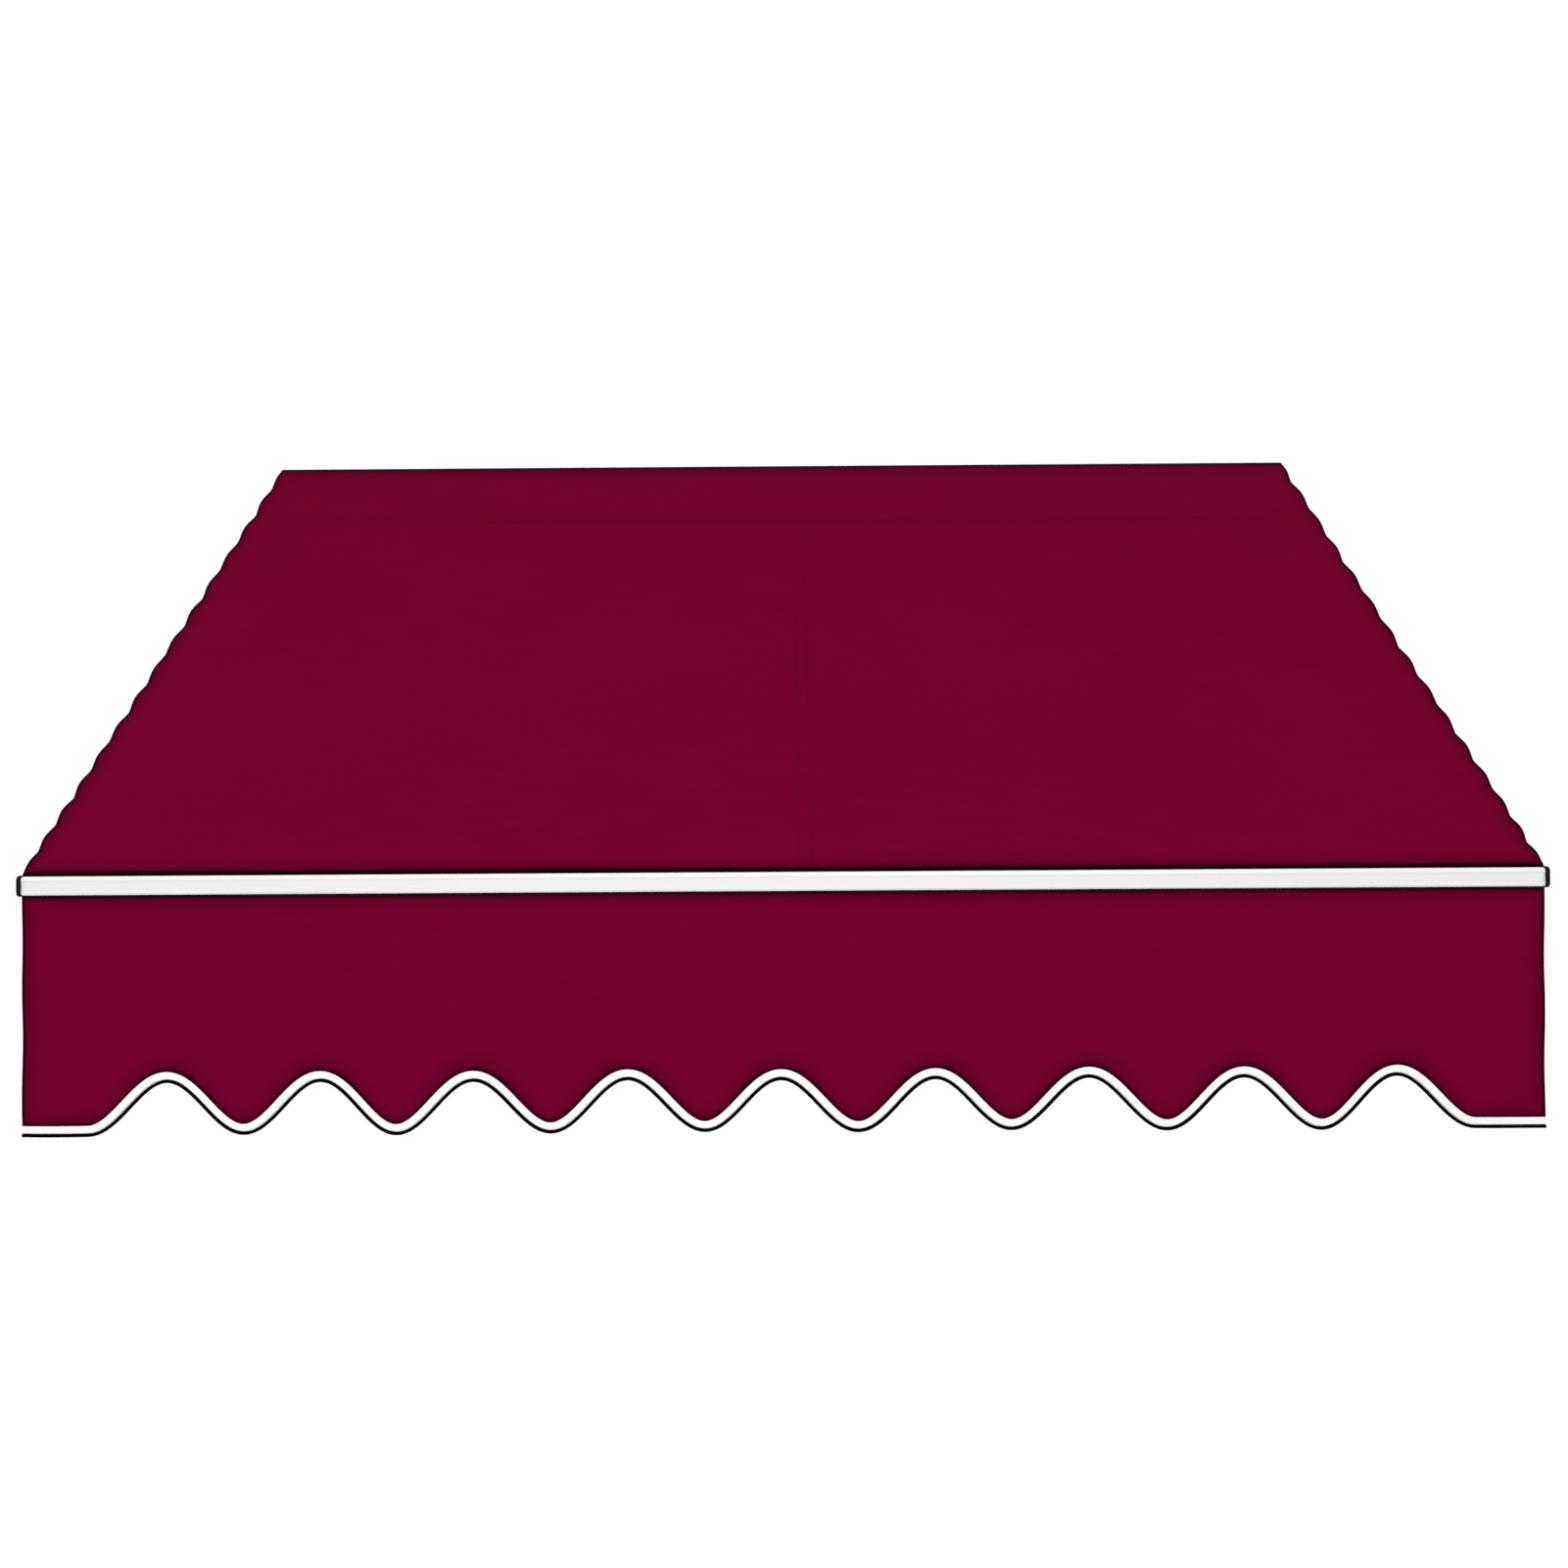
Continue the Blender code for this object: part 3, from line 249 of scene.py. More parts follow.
def roof_path():
    """The roof's whole line as (distance from the top of the slope, y, z): tuck, wrap, slope, bead."""
    wrap = arc((ROD_Y, ROD_Z), WRAP_RADIUS, WRAP_DEG, TOP_DEG, WRAP_STEPS)
    share = np.linspace(0, 1, TUCK_STEPS)[:-1, None]
    tuck = TUCKED_END * (1 - share) + wrap[0] * share
    slope = slope_points(np.linspace(0, SLOPE_LENGTH, SLOPE_STEPS))[1:]
    t = np.linspace(0, 1, CORNER_STEPS)[1:, None]
    corner_end = np.array([CLOTH_Y, ROOF_CORNER[1] - CORNER_RUN])
    corner = (1 - t) ** 2 * slope[-1] + 2 * t * (1 - t) * ROOF_CORNER + t**2 * corner_end
    loop = bead((CLOTH_Y, RAIL_TOP - CHANNEL_DEPTH), 1)[::-1]
    line = np.vstack([tuck, wrap, slope, corner, loop])
    length = np.concatenate([[0], np.cumsum(np.linalg.norm(np.diff(line, axis=0), axis=1))])
    top = len(tuck) + len(wrap) - 1
    return np.column_stack([length - length[top], line])


ROOF_PATH = roof_path()
# The roof's direction at a place is measured over twice this step
HALF_STEP = 0.0006


def path_at(s):
    """The roof path's y and z at distances along it."""
    return [np.interp(s, ROOF_PATH[:, 0], ROOF_PATH[:, k]) for k in (1, 2)]


def gather_turns(share):
    """Gathers passed at a share of the slope: the root of the quadratic that spaces them, plus a line."""
    spread = 1 + GATHER_CLOSING
    passed = (spread - np.sqrt(spread**2 - 4 * GATHER_CLOSING * share)) / (2 * GATHER_CLOSING)
    return GATHERS * passed + GATHERS_EXTRA * share - GATHERS_LATE


def gather_pull(x, share):
    """How far a side hem is drawn in: its depth times one minus the size of a cosine, a little uneven."""
    turns = gather_turns(share)
    depth = GATHER_DEPTH_AT_ROD + (GATHER_DEPTH_AT_RAIL - GATHER_DEPTH_AT_ROD) * share
    uneven = 1 + GATHER_UNEVEN * np.sin(UNEVEN_TURN * turns + UNEVEN_SIDE * np.sign(x))
    return depth * uneven * (1 - np.abs(np.cos(np.pi * turns)))


def roof_point(x, s, lift=0.0):
    """The roof at x across and s along: the path, its side hems drawn in and puckered at each gather.

    The tucked hem inside the head pocket lies under the slope, so it is drawn in with it.
    """
    x, s = np.broadcast_arrays(x, s)
    y, z = path_at(s)
    ahead, behind = path_at(s + HALF_STEP), path_at(s - HALF_STEP)
    run, climb = ahead[0] - behind[0], ahead[1] - behind[1]
    size = np.hypot(run, climb)
    out_y, out_z = climb / size, -run / size
    from_side = HALF_WIDTH - np.abs(x)
    on_slope = np.clip(np.minimum(s, SLOPE_LENGTH - s) / PUCKER_FADE, 0, 1)
    share = np.clip(np.maximum(s, -s - WRAP_LENGTH) / SLOPE_LENGTH, 0, 1)
    fade = np.clip(1 - from_side / GATHER_REACH, 0, 1) ** 2
    pull = (gather_pull(x, share) + TUCK_INSET * (s < -WRAP_LENGTH)) * fade
    phase = np.pi * gather_turns(share)
    pucker = PUCKER_RISE * np.cos(2 * phase) * np.exp(-from_side / PUCKER_REACH) * on_slope
    hem = SIDE_HEM_RISE * (from_side < SIDE_HEM)
    in_band = np.abs(x - SEAM_PLACE) < SEAM_WIDTH / 2 + SEAM_MARGIN
    in_band = in_band & (s > HEAD_HEM) & (s < SLOPE_LENGTH - SEAM_STOP)
    dip = -HEM_DIP * np.exp(-(((s - HEAD_HEM) / HEM_DIP_REACH) ** 2))
    up = lift + pucker + (hem + SEAM_RISE * in_band + dip) * (lift > 0) * on_slope
    return np.stack([x - np.sign(x) * pull, y + out_y * up, z + out_z * up], axis=-1)


def lower_edge(x):
    """Height and slope of the valance's fold: nine cosine arches between two flat ends."""
    turn = 2 * np.pi / SCALLOP_PITCH
    run = np.clip(x, SCALLOPS_START, SCALLOPS_END) - SCALLOPS_START
    height = FLAT_BOTTOM + SCALLOP_DEPTH * (1 - np.cos(turn * run)) / 2
    return height, SCALLOP_DEPTH * turn * np.sin(turn * run) / 2


def valance_wave(x, z):
    """How far the hanging cloth stands off its plane: two sines along x, growing downwards."""
    fall = np.clip((RAIL_BOTTOM - z) / VALANCE_DROP, 0, 1) ** WAVE_FALL_POWER
    waves = [size * np.sin(2 * np.pi * x / length + phase) for size, length, phase in WAVES]
    return VALANCE_WAVE * fall * (waves[0] + waves[1])


def plain_mesh(name, points, faces, uv=None, gap=None):
    """A mesh object from vertex and face arrays, with a cloth layout in metres and an edge distance."""
    mesh = bpy.data.meshes.new(name)
    mesh.from_pydata(points.reshape(-1, 3).tolist(), [], [face.tolist() for face in faces])
    if uv is not None:
        corner = np.zeros(len(mesh.loops), np.int32)
        mesh.loops.foreach_get("vertex_index", corner)
        layer = mesh.uv_layers.new(name="cut_layout")
        layer.data.foreach_set("uv", uv.reshape(-1, 2)[corner].astype(np.float32).ravel())
    if gap is not None:
        attribute = mesh.attributes.new("edge_gap", "FLOAT", "POINT")
        attribute.data.foreach_set("value", gap.astype(np.float32).ravel())
    mesh.shade_smooth()
    mesh.set_sharp_from_angle(angle=math.radians(SHARP_DEG))
    piece = bpy.data.objects.new(name, mesh)
    bpy.context.scene.collection.objects.link(piece)
    return piece


def grid_faces(rows, columns, wrap=False):
    """Quads of a grid of vertices numbered row by row; with wrap the last column meets the first."""
    across = np.arange(columns if wrap else columns - 1)
    a = (np.arange(rows - 1)[:, None] * columns + across).ravel()
    b = (np.arange(rows - 1)[:, None] * columns + (across + 1) % columns).ravel()
    return np.column_stack([a, b, b + columns, a + columns])


def cloth_mesh(name, outer, inner, uv, gap, keep=None):
    """Two layers of a grid joined by a rim along every open edge."""
    rows, columns = outer.shape[:2]
    faces = grid_faces(rows, columns)
    if keep is not None:
        faces = faces[keep.ravel()]
    points = outer.reshape(-1, 3)
    turn = np.cross(points[faces[:, 1]] - points[faces[:, 0]], points[faces[:, 3]] - points[faces[:, 0]])
    if (turn * (points - inner.reshape(-1, 3))[faces[:, 0]]).sum() < 0:
        faces = faces[:, ::-1]
    edges = np.concatenate([np.column_stack([faces[:, k], faces[:, (k + 1) % 4]]) for k in range(4)])
    count = rows * columns
    forward, backward = edges[:, 0] * count + edges[:, 1], edges[:, 1] * count + edges[:, 0]
    open_edges = edges[~np.isin(forward, backward)]
    a, b = open_edges.T
    rim = np.column_stack([b, a, a + count, b + count])
    everything = np.concatenate([faces, faces[:, ::-1] + count, rim])
    used, everything = np.unique(everything, return_inverse=True)
    layers = np.concatenate([points, inner.reshape(-1, 3)])[used]
    flat = np.concatenate([uv.reshape(-1, 2)] * 2)[used]
    # The back layer's painted shade reaches a third as far
    distance = np.concatenate([gap.ravel(), INNER_SHADE * gap.ravel()])[used]
    return plain_mesh(name, layers, everything.reshape(-1, 4), flat, distance)


def sweep_mesh(name, rings, uv_size):
    """Closed rings of vertices joined in order, with flat ends, laid out by run and round."""
    count, around = rings.shape[:2]
    faces = grid_faces(count, around, wrap=True)
    ends = [np.arange(around)[::-1], (count - 1) * around + np.arange(around)]
    run = np.concatenate([[0], np.cumsum(np.linalg.norm(np.diff(rings.mean(axis=1), axis=0), axis=1))])
    layout = np.stack(np.broadcast_arrays(run[:, None], np.linspace(0, uv_size, around)), axis=-1)
    return plain_mesh(name, rings, [*faces, *ends], layout)


def stitch_mesh(name, start, end, out):
    """A small rounded bar from each start to each end, half sunk in the cloth, out being away from it."""
    way = unit(end - start)
    side = unit(np.cross(way, out))
    share = np.array([0.0, 0.18, 0.82, 1.0])
    girth = np.array([0.35, 1.0, 1.0, 0.35])
    rings, sides = len(share), 6
    angle = np.arange(sides) * np.pi / 3
    centre = start[:, None] + share[None, :, None] * (end - start)[:, None]
    ring = np.cos(angle)[:, None] * side[:, None, None] + np.sin(angle)[:, None] * out[:, None, None]
    points = centre[:, :, None] + STITCH_RADIUS * girth[None, :, None, None] * ring
    faces = grid_faces(rings, sides, wrap=True)
    caps = np.array([[0, 1, 2, 3], [0, 3, 4, 5]])
    faces = np.concatenate([faces[:, ::-1], caps, caps[:, ::-1] + (rings - 1) * sides])
    every = (np.arange(len(start))[:, None, None] * rings * sides + faces).reshape(-1, 4)
    return plain_mesh(name, points, every)


def linear(code):
    """A colour written as sRGB hex, turned to linear."""
    parts = [int(code[k:k + 2], 16) / 255 for k in (1, 3, 5)]
    return (*[c / 12.92 if c < 0.04045 else ((c + 0.055) / 1.055) ** 2.4 for c in parts], 1.0)


def add_node(tree, kind, inputs=None, stops=None, **settings):
    """Add a node, set its properties, set or link its inputs, and give a ramp its stops."""
    node = tree.nodes.new(kind)
    for name, value in settings.items():
        setattr(node, name, value)
    for name, value in (inputs or {}).items():
        if isinstance(value, bpy.types.NodeSocket):
            tree.links.new(value, node.inputs[name])
        else:
            node.inputs[name].default_value = value
    if stops:
        elements = node.color_ramp.elements
        while len(elements) < len(stops):
            elements.new(0.5)
        for element, (place, grey) in zip(elements, stops):
            element.position = place
            element.color = (grey, grey, grey, 1)
    return node


def new_material(name, **constants):
    """A material with one Principled shader, whose constant inputs are set here."""
    material = bpy.data.materials.new(name)
    material.use_nodes = True
    tree = material.node_tree
    shader = tree.nodes["Principled BSDF"]
    for key, value in constants.items():
        shader.inputs[key.replace("_", " ")].default_value = value
    return material, tree, shader


def dress_shader(tree, shader, code, tone, relief):
    """Give a shader its colour scaled by a tone, and its relief as (height, strength, depth)."""
    colour = add_node(tree, "ShaderNodeVectorMath", {0: linear(code)[:3], "Scale": tone}, operation="SCALE")
    tree.links.new(colour.outputs[0], shader.inputs["Base Color"])
    height, strength, depth = relief
    bump = add_node(tree, "ShaderNodeBump", {"Height": height, "Strength": strength, "Distance": depth})
    tree.links.new(bump.outputs["Normal"], shader.inputs["Normal"])


# Thread spacings. The first three are about three times as coarse as real, so that the weave shows
CANVAS_THREAD = 0.0016
TAPE_THREAD = 0.0012
CORD_THREAD = 0.0011
SEWING_THREAD = 0.0004
WEAVE_CONTRAST = 0.22
RELIEF_DEPTH = 0.0004
# A wave texture's scale times its wavelength
WAVE_TURN = 2 * math.pi / 20
# The middle of a noise's spread
NOISE_RANGE = {"From Min": 0.3, "From Max": 0.7}
# Painted shade: tone by share of SHADE_REACH from the canvas's edge
EDGE_SHADE = [
    (0.0, 0.01), (0.025, 0.06), (0.07, 0.20), (0.12, 0.34), (0.17, 0.50), (0.22, 0.61), (0.31, 0.76),
    (0.50, 0.86), (0.67, 0.94), (1.0, 1.0),
]
# The head hem's strip of painted shade: its middle, where it begins and stops to fade, and its tone
HEM_SEAM_SHADE = (HEAD_HEM - 0.001, 0.0085, 0.0145, 0.97)


def weave_height(tree, layout, spacing):
    """Over and under threads: the product of two sine waves, one thread spacing apart."""
    waves = []
    for direction in ("X", "Y"):
        wave = add_node(
            tree, "ShaderNodeTexWave", {"Vector": layout, "Scale": WAVE_TURN / (2 * spacing)},
            bands_direction=direction,
        )
        waves.append(add_node(tree, "ShaderNodeMath", {0: wave.outputs["Fac"], 1: 0.5}, operation="SUBTRACT"))
    return add_node(
        tree, "ShaderNodeMath", {0: waves[0].outputs[0], 1: waves[1].outputs[0]}, operation="MULTIPLY"
    ).outputs[0]


def woven_canvas(name, code):
    """Solution-dyed acrylic canvas: matt, closely woven, and darker along its edges with painted shade, as in
    the photograph.
    """
    material, tree, shader = new_material(name, Roughness=0.95, Specular_IOR_Level=0.012)
    layout = add_node(tree, "ShaderNodeUVMap", uv_map="cut_layout").outputs["UV"]
    weave = weave_height(tree, layout, CANVAS_THREAD)
    slub = add_node(
        tree, "ShaderNodeMapping", {"Vector": layout, "Scale": (14, 90, 1)}
    ).outputs["Vector"]
    streak = add_node(tree, "ShaderNodeTexNoise", {"Vector": slub, "Scale": 1.0, "Detail": 3.0})
    cloud = add_node(tree, "ShaderNodeTexNoise", {"Vector": layout, "Scale": 5.0, "Detail": 2.0})
    tone = add_node(
        tree, "ShaderNodeMath", {0: streak.outputs["Fac"], 1: cloud.outputs["Fac"]}, operation="ADD"
    )
    tone = add_node(
        tree, "ShaderNodeMapRange",
        {"Value": tone.outputs[0], "From Min": 0.7, "From Max": 1.3, "To Min": 0.97, "To Max": 1.03},
    )
    thread = add_node(
        tree, "ShaderNodeMath", {0: weave, 1: WEAVE_CONTRAST, 2: tone.outputs["Result"]},
        operation="MULTIPLY_ADD",
    )
    # Painted shade: the canvas darkens near its edges, the rod's top, the rail and the binding
    gap = add_node(tree, "ShaderNodeAttribute", attribute_name="edge_gap").outputs["Fac"]
    share = add_node(tree, "ShaderNodeMath", {0: gap, 1: SHADE_REACH}, operation="DIVIDE")
    shade = add_node(tree, "ShaderNodeValToRGB", {"Fac": share.outputs[0]}, stops=EDGE_SHADE)
    total = add_node(
        tree, "ShaderNodeMath", {0: thread.outputs[0], 1: shade.outputs["Color"]}, operation="MULTIPLY"
    )
    # The head hem's seam reads as a slightly darker strip in the photograph; the strip is painted shade
    middle, near, far, seam_shade_tone = HEM_SEAM_SHADE
    along = add_node(tree, "ShaderNodeSeparateXYZ", {"Vector": layout}).outputs["Y"]
    off = add_node(tree, "ShaderNodeMath", {0: along, 1: middle}, operation="SUBTRACT")
    off = add_node(tree, "ShaderNodeMath", {0: off.outputs[0]}, operation="ABSOLUTE")
    strip = add_node(
        tree, "ShaderNodeMapRange",
        {"Value": off.outputs[0], "From Min": near, "From Max": far, "To Min": seam_shade_tone, "To Max": 1.0},
    )
    total = add_node(
        tree, "ShaderNodeMath", {0: total.outputs[0], 1: strip.outputs[0]}, operation="MULTIPLY"
    )
    dress_shader(tree, shader, code, total.outputs[0], (weave, 0.35, RELIEF_DEPTH))
    return material


def woven_tape(name, code, spacing, shine=0.2):
    """Polyester binding tape: close ribs across its width and a soft, slightly silky face."""
    material, tree, shader = new_material(name, Roughness=0.80, Specular_IOR_Level=shine)
    layout = add_node(tree, "ShaderNodeUVMap", uv_map="cut_layout").outputs["UV"]
    ribs = weave_height(tree, layout, spacing)
    noise = add_node(tree, "ShaderNodeTexNoise", {"Vector": layout, "Scale": 60.0, "Detail": 2.0})
    tone = add_node(
        tree, "ShaderNodeMapRange",
        {"Value": noise.outputs["Fac"], **NOISE_RANGE, "To Min": 0.97, "To Max": 1.0},
    )
    dress_shader(tree, shader, code, tone.outputs[0], (ribs, 0.5, RELIEF_DEPTH))
    return material


def grained(
    name, code, grain, stretch=(1, 1, 1), contrast=0.04, depth=0.0002, rough=(0.35, 0.45), **constants
):
    """A hard finish: a fine noise of real grain size varies its colour, gloss and height."""
    material, tree, shader = new_material(name, **constants)
    place = add_node(tree, "ShaderNodeTexCoord").outputs["Object"]
    place = add_node(tree, "ShaderNodeMapping", {"Vector": place, "Scale": stretch}).outputs["Vector"]
    noise = add_node(
        tree, "ShaderNodeTexNoise", {"Vector": place, "Scale": 1 / grain, "Detail": 3.0}
    ).outputs["Fac"]
    tone = add_node(
        tree, "ShaderNodeMapRange", {"Value": noise, **NOISE_RANGE, "To Min": 1 - contrast, "To Max": 1.0}
    )
    gloss = add_node(
        tree, "ShaderNodeMapRange", {"Value": noise, **NOISE_RANGE, "To Min": rough[0], "To Max": rough[1]}
    )
    tree.links.new(gloss.outputs[0], shader.inputs["Roughness"])
    dress_shader(tree, shader, code, tone.outputs[0], (noise, 0.25, depth))
    return material


def paint_lip_highlights(material, middle, near, far, gain):
    """Painted highlight: scale a coat's colour up from near to far above and below a middle height."""
    tree = material.node_tree
    base = tree.nodes["Principled BSDF"].inputs["Base Color"]
    place = add_node(tree, "ShaderNodeTexCoord").outputs["Object"]
    height = add_node(tree, "ShaderNodeSeparateXYZ", {"Vector": place}).outputs["Z"]
    off = add_node(tree, "ShaderNodeMath", {0: height, 1: middle}, operation="SUBTRACT")
    off = add_node(tree, "ShaderNodeMath", {0: off.outputs[0]}, operation="ABSOLUTE")
    scale = add_node(
        tree, "ShaderNodeMapRange",
        {"Value": off.outputs[0], "From Min": near, "From Max": far, "To Min": 1.0, "To Max": gain},
    )
    colour = add_node(
        tree, "ShaderNodeVectorMath", {0: base.links[0].from_socket, "Scale": scale.outputs[0]},
        operation="SCALE",
    )
    tree.links.new(colour.outputs[0], base)
    return material


canvas = woven_canvas("woven_acrylic_canvas", "#6F022C")
tape = woven_tape("polyester_binding_tape", "#FDFCFC", TAPE_THREAD)
# Braided cotton cord: dull, so it stays black where light grazes it; its black also stands for the line of
# shade under the binding, as painted shade
cord = woven_tape("black_cord_with_painted_shade", "#030303", CORD_THREAD, shine=0.0)
# Spun sewing thread: matt stitches, a little darker than the canvas and a little greyer than the tape
red_thread = woven_tape("burgundy_thread", "#5C0225", SEWING_THREAD, shine=0.05)
white_thread = woven_tape("white_thread", "#F4F3F1", SEWING_THREAD)
# Powder coat: an even satin white with a faint orange peel
white_coat = grained("powder_coat_white", "#F1F0F1", 0.0025, contrast=0.015, rough=(0.40, 0.50))
# The same coat on the rail as a slightly darker copy, with painted highlights on its lips, which look
# brighter than its recess in the photograph
LIP_START, LIP_END, LIP_HIGHLIGHT_GAIN = 0.0055, 0.0112, 1.14
rail_coat = paint_lip_highlights(
    grained("powder_coat_rail", "#EAE9EA", 0.0025, contrast=0.015, rough=(0.40, 0.50)),
    (RAIL_TOP + RAIL_BOTTOM) / 2, LIP_START, LIP_END, LIP_HIGHLIGHT_GAIN,
)
# Moulded polypropylene: a black with a faint spark-eroded grain
black_plastic = grained(
    "moulded_polypropylene", "#040404", 0.0012, contrast=0.2, rough=(0.55, 0.70), Specular_IOR_Level=0.12
)
white_plastic = grained("moulded_polypropylene_white", "#E8E7E6", 0.0012, contrast=0.02, rough=(0.42, 0.55))
# Mill-finish aluminium: soft grey with die lines along the tube
mill_aluminium = grained(
    "mill_aluminium", "#C9CBCD", 0.002, stretch=(0.02, 1, 1), contrast=0.12, rough=(0.28, 0.46), Metallic=1.0
)
# Zinc plating: a cool silver with a slightly clouded passivated film
zinc = grained("zinc_plated_steel", "#B9BCC1", 0.004, contrast=0.18, rough=(0.30, 0.50), Metallic=1.0)
# Extruded vinyl: a milky, slightly soft cord
vinyl = grained("extruded_vinyl", "#DCDBD6", 0.003, contrast=0.05, rough=(0.40, 0.55))

MATERIAL_OF = {
    "front_rail": rail_coat, "arm_left": white_coat, "arm_right": white_coat, "arm_plate_left": white_coat,
    "arm_plate_right": white_coat, "rail_knuckle_left": white_coat, "rail_knuckle_right": white_coat,
    "rail_end_cap_left": black_plastic, "rail_end_cap_right": black_plastic, "head_rod": mill_aluminium,
    "head_rod_cap_left": white_plastic, "head_rod_cap_right": white_plastic, "roof_spline": vinyl,
    "valance_spline": vinyl,
}
for name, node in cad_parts.items():
    node.data.materials.clear()
    node.data.materials.append(MATERIAL_OF.get(name, zinc))


def finish_piece(piece, material):
    """Give a new piece its material."""
    piece.data.materials.append(material)


ROOF_XS = steps_from(
    (-HALF_WIDTH, HALF_WIDTH, 73),
    *from_sides(EDGE_STEPS),
    *from_sides(HEM_STEPS),
    (*SEAM_SIDES, 5),
    (SEAM_SIDES[0] - SEAM_STEP, SEAM_SIDES[1] + SEAM_STEP, 2),
    *[(place - NOTCH_HALF, place + NOTCH_HALF, 3) for place in BRACKETS],
)
ROOF_START, ROOF_END = ROOF_PATH[0, 0], ROOF_PATH[-1, 0]
# Distances down the slope at which the two lower panels begin
FRONT_START, FOOT_START = 0.863, 0.921


def panel_rows(low, high):
    """Rows of a roof panel: about ten to a gather, and closer along the rod, the hem line and the rail.

    The places are a quadratic of the gather's number. The rows near the rail are close because the
    slack roof turns sharply there when the frame is up.
    """
    turns = np.linspace(0, 1, ROWS_PER_GATHER * GATHERS + 1)
    gathered = SLOPE_LENGTH * ((1 + GATHER_CLOSING) * turns - GATHER_CLOSING * turns**2)
    rows = steps_from(
        *single(gathered),
        *single(-WRAP_LENGTH - gathered[gathered < HEAD_HEM]),
        (-WRAP_LENGTH, 0.0, CURVE_ROWS),
        (HUMP_START, SLOPE_LENGTH, HUMP_ROWS),
        *single(EDGE_STEPS),
        *single(SLOPE_LENGTH - EDGE_STEPS),
        (HEAD_HEM - HEM_ROWS_REACH, HEAD_HEM + HEM_ROWS_REACH, HEM_ROWS),
        (SLOPE_LENGTH, ROOF_END, CURVE_ROWS),
    )
    inside = rows[(rows > low + ROW_MARGIN) & (rows < high - ROW_MARGIN)]
    return np.concatenate([[low], inside, [high]])


def roof_panel(name, low, high, bodies, near, far, rests_on):
    """One length of the roof between two distances, its two layers worked out from the same line."""
    s = panel_rows(low, high)
    across, along = np.meshgrid(ROOF_XS, s)
    outer, inner = roof_point(across, along, CLOTH / 2), roof_point(across, along, -CLOTH / 2)
    # The edge distance sets painted shade at the sides, around the rod's top and above the rail
    to_rail = np.clip(SLOPE_LENGTH + CORNER_RUN - along, 0, None)
    from_top = np.abs(along - TOP_SHADE_PLACE) / TOP_SHADE_SPREAD
    gap = np.minimum.reduce([HALF_WIDTH - np.abs(across), from_top, to_rail])
    centre_s, centre_x = (s[:-1] + s[1:]) / 2, (ROOF_XS[:-1] + ROOF_XS[1:]) / 2
    y, z = path_at(centre_s)
    y, z = y - ROD_Y, z - ROD_Z
    down, off = y * SLOPE_WAY[0] + z * SLOPE_WAY[1], y * SLOPE_OUT[0] + z * SLOPE_OUT[1]
    at_hook = (np.abs(down) < NOTCH_REACH) & (off < NOTCH_TOP)
    near_bracket = np.any([np.abs(centre_x - place) < NOTCH_HALF for place in BRACKETS], axis=0)
    keep = ~(at_hook[:, None] & near_bracket[None, :])
    piece = cloth_mesh(name, outer, inner, np.stack([across, along], axis=-1), gap, keep)
    finish_piece(piece, canvas)
    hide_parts("roof_cover")
    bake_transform(piece)
    stitches = roof_stitches(
        f"{name}_stitches", max(low, STITCH_MARGIN), min(high, SLOPE_LENGTH - STITCH_MARGIN)
    )
    finish_piece(stitches, red_thread)
    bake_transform(stitches)


def roof_stitches(name, low, high):
    """Rows of stitches down both sides and the centre seam, and along the head hem where it is inside."""
    starts, ends = [], []
    rows = np.arange(low + STITCH_START, high - STITCH_LENGTH, STITCH_PITCH)
    below_hem = rows[rows > HEAD_HEM + STITCH_BELOW_HEM]
    side = HALF_WIDTH - SIDE_HEM + STITCH_INSET
    seam = (SEAM_SIDES[0] + STITCH_INSET, SEAM_SIDES[1] - STITCH_INSET)
    for x, s in ((-side, rows), (side, rows), (seam[0], below_hem), (seam[1], below_hem)):
        starts.append(np.column_stack([np.full_like(s, x), s]))
        ends.append(np.column_stack([np.full_like(s, x), s + STITCH_LENGTH]))
    x = np.arange(-HALF_WIDTH + SIDE_HEM, HALF_WIDTH - SIDE_HEM, STITCH_PITCH)
    for line in HEAD_HEM_LINES:
        if low < line < high:
            starts.append(np.column_stack([x, np.full_like(x, line)]))
            ends.append(np.column_stack([x + STITCH_LENGTH, np.full_like(x, line)]))
    starts, ends = np.concatenate(starts), np.concatenate(ends)
    start = roof_point(starts[:, 0], starts[:, 1], CLOTH / 2)
    end = roof_point(ends[:, 0], ends[:, 1], CLOTH / 2)
    out = unit(roof_point(starts[:, 0], starts[:, 1], CLOTH) - start)
    return stitch_mesh(name, start, end, out)


# Forty columns to an arch, and closer along the sides and the seam
VALANCE_XS = steps_from(
    (-HALF_WIDTH, SCALLOPS_START, 8),
    (SCALLOPS_START, SCALLOPS_END, COLUMNS_PER_ARCH * SCALLOPS + 1),
    (SCALLOPS_END, HALF_WIDTH, 8),
    *from_sides(EDGE_STEPS),
    (*SEAM_SIDES, 2),
    (SEAM_SIDES[0] - SEAM_STEP, SEAM_SIDES[1] + SEAM_STEP, 2),
)


def side_drift(x, z):
    """The free side edges wander a little: a slow sine in height, fading over 60 mm inwards."""
    fade = np.clip(1 - (HALF_WIDTH - np.abs(x)) / DRIFT_REACH, 0, 1) ** 2
    fall = np.clip((RAIL_BOTTOM - z) / DRIFT_FALL, 0, 1)
    return -np.sign(x) * SIDE_DRIFT * fade * fall * (1 + np.sin(2 * np.pi * z / DRIFT_LENGTH + x))


def valance_point(x, z, lift=0.0):
    """The hanging cloth at x and height z, lift being towards the viewer of its face."""
    x, z = np.broadcast_arrays(x, z)
    y = CLOTH_Y - lift - valance_wave(x, z)
    return np.stack([x + side_drift(x, z), y, z], axis=-1)


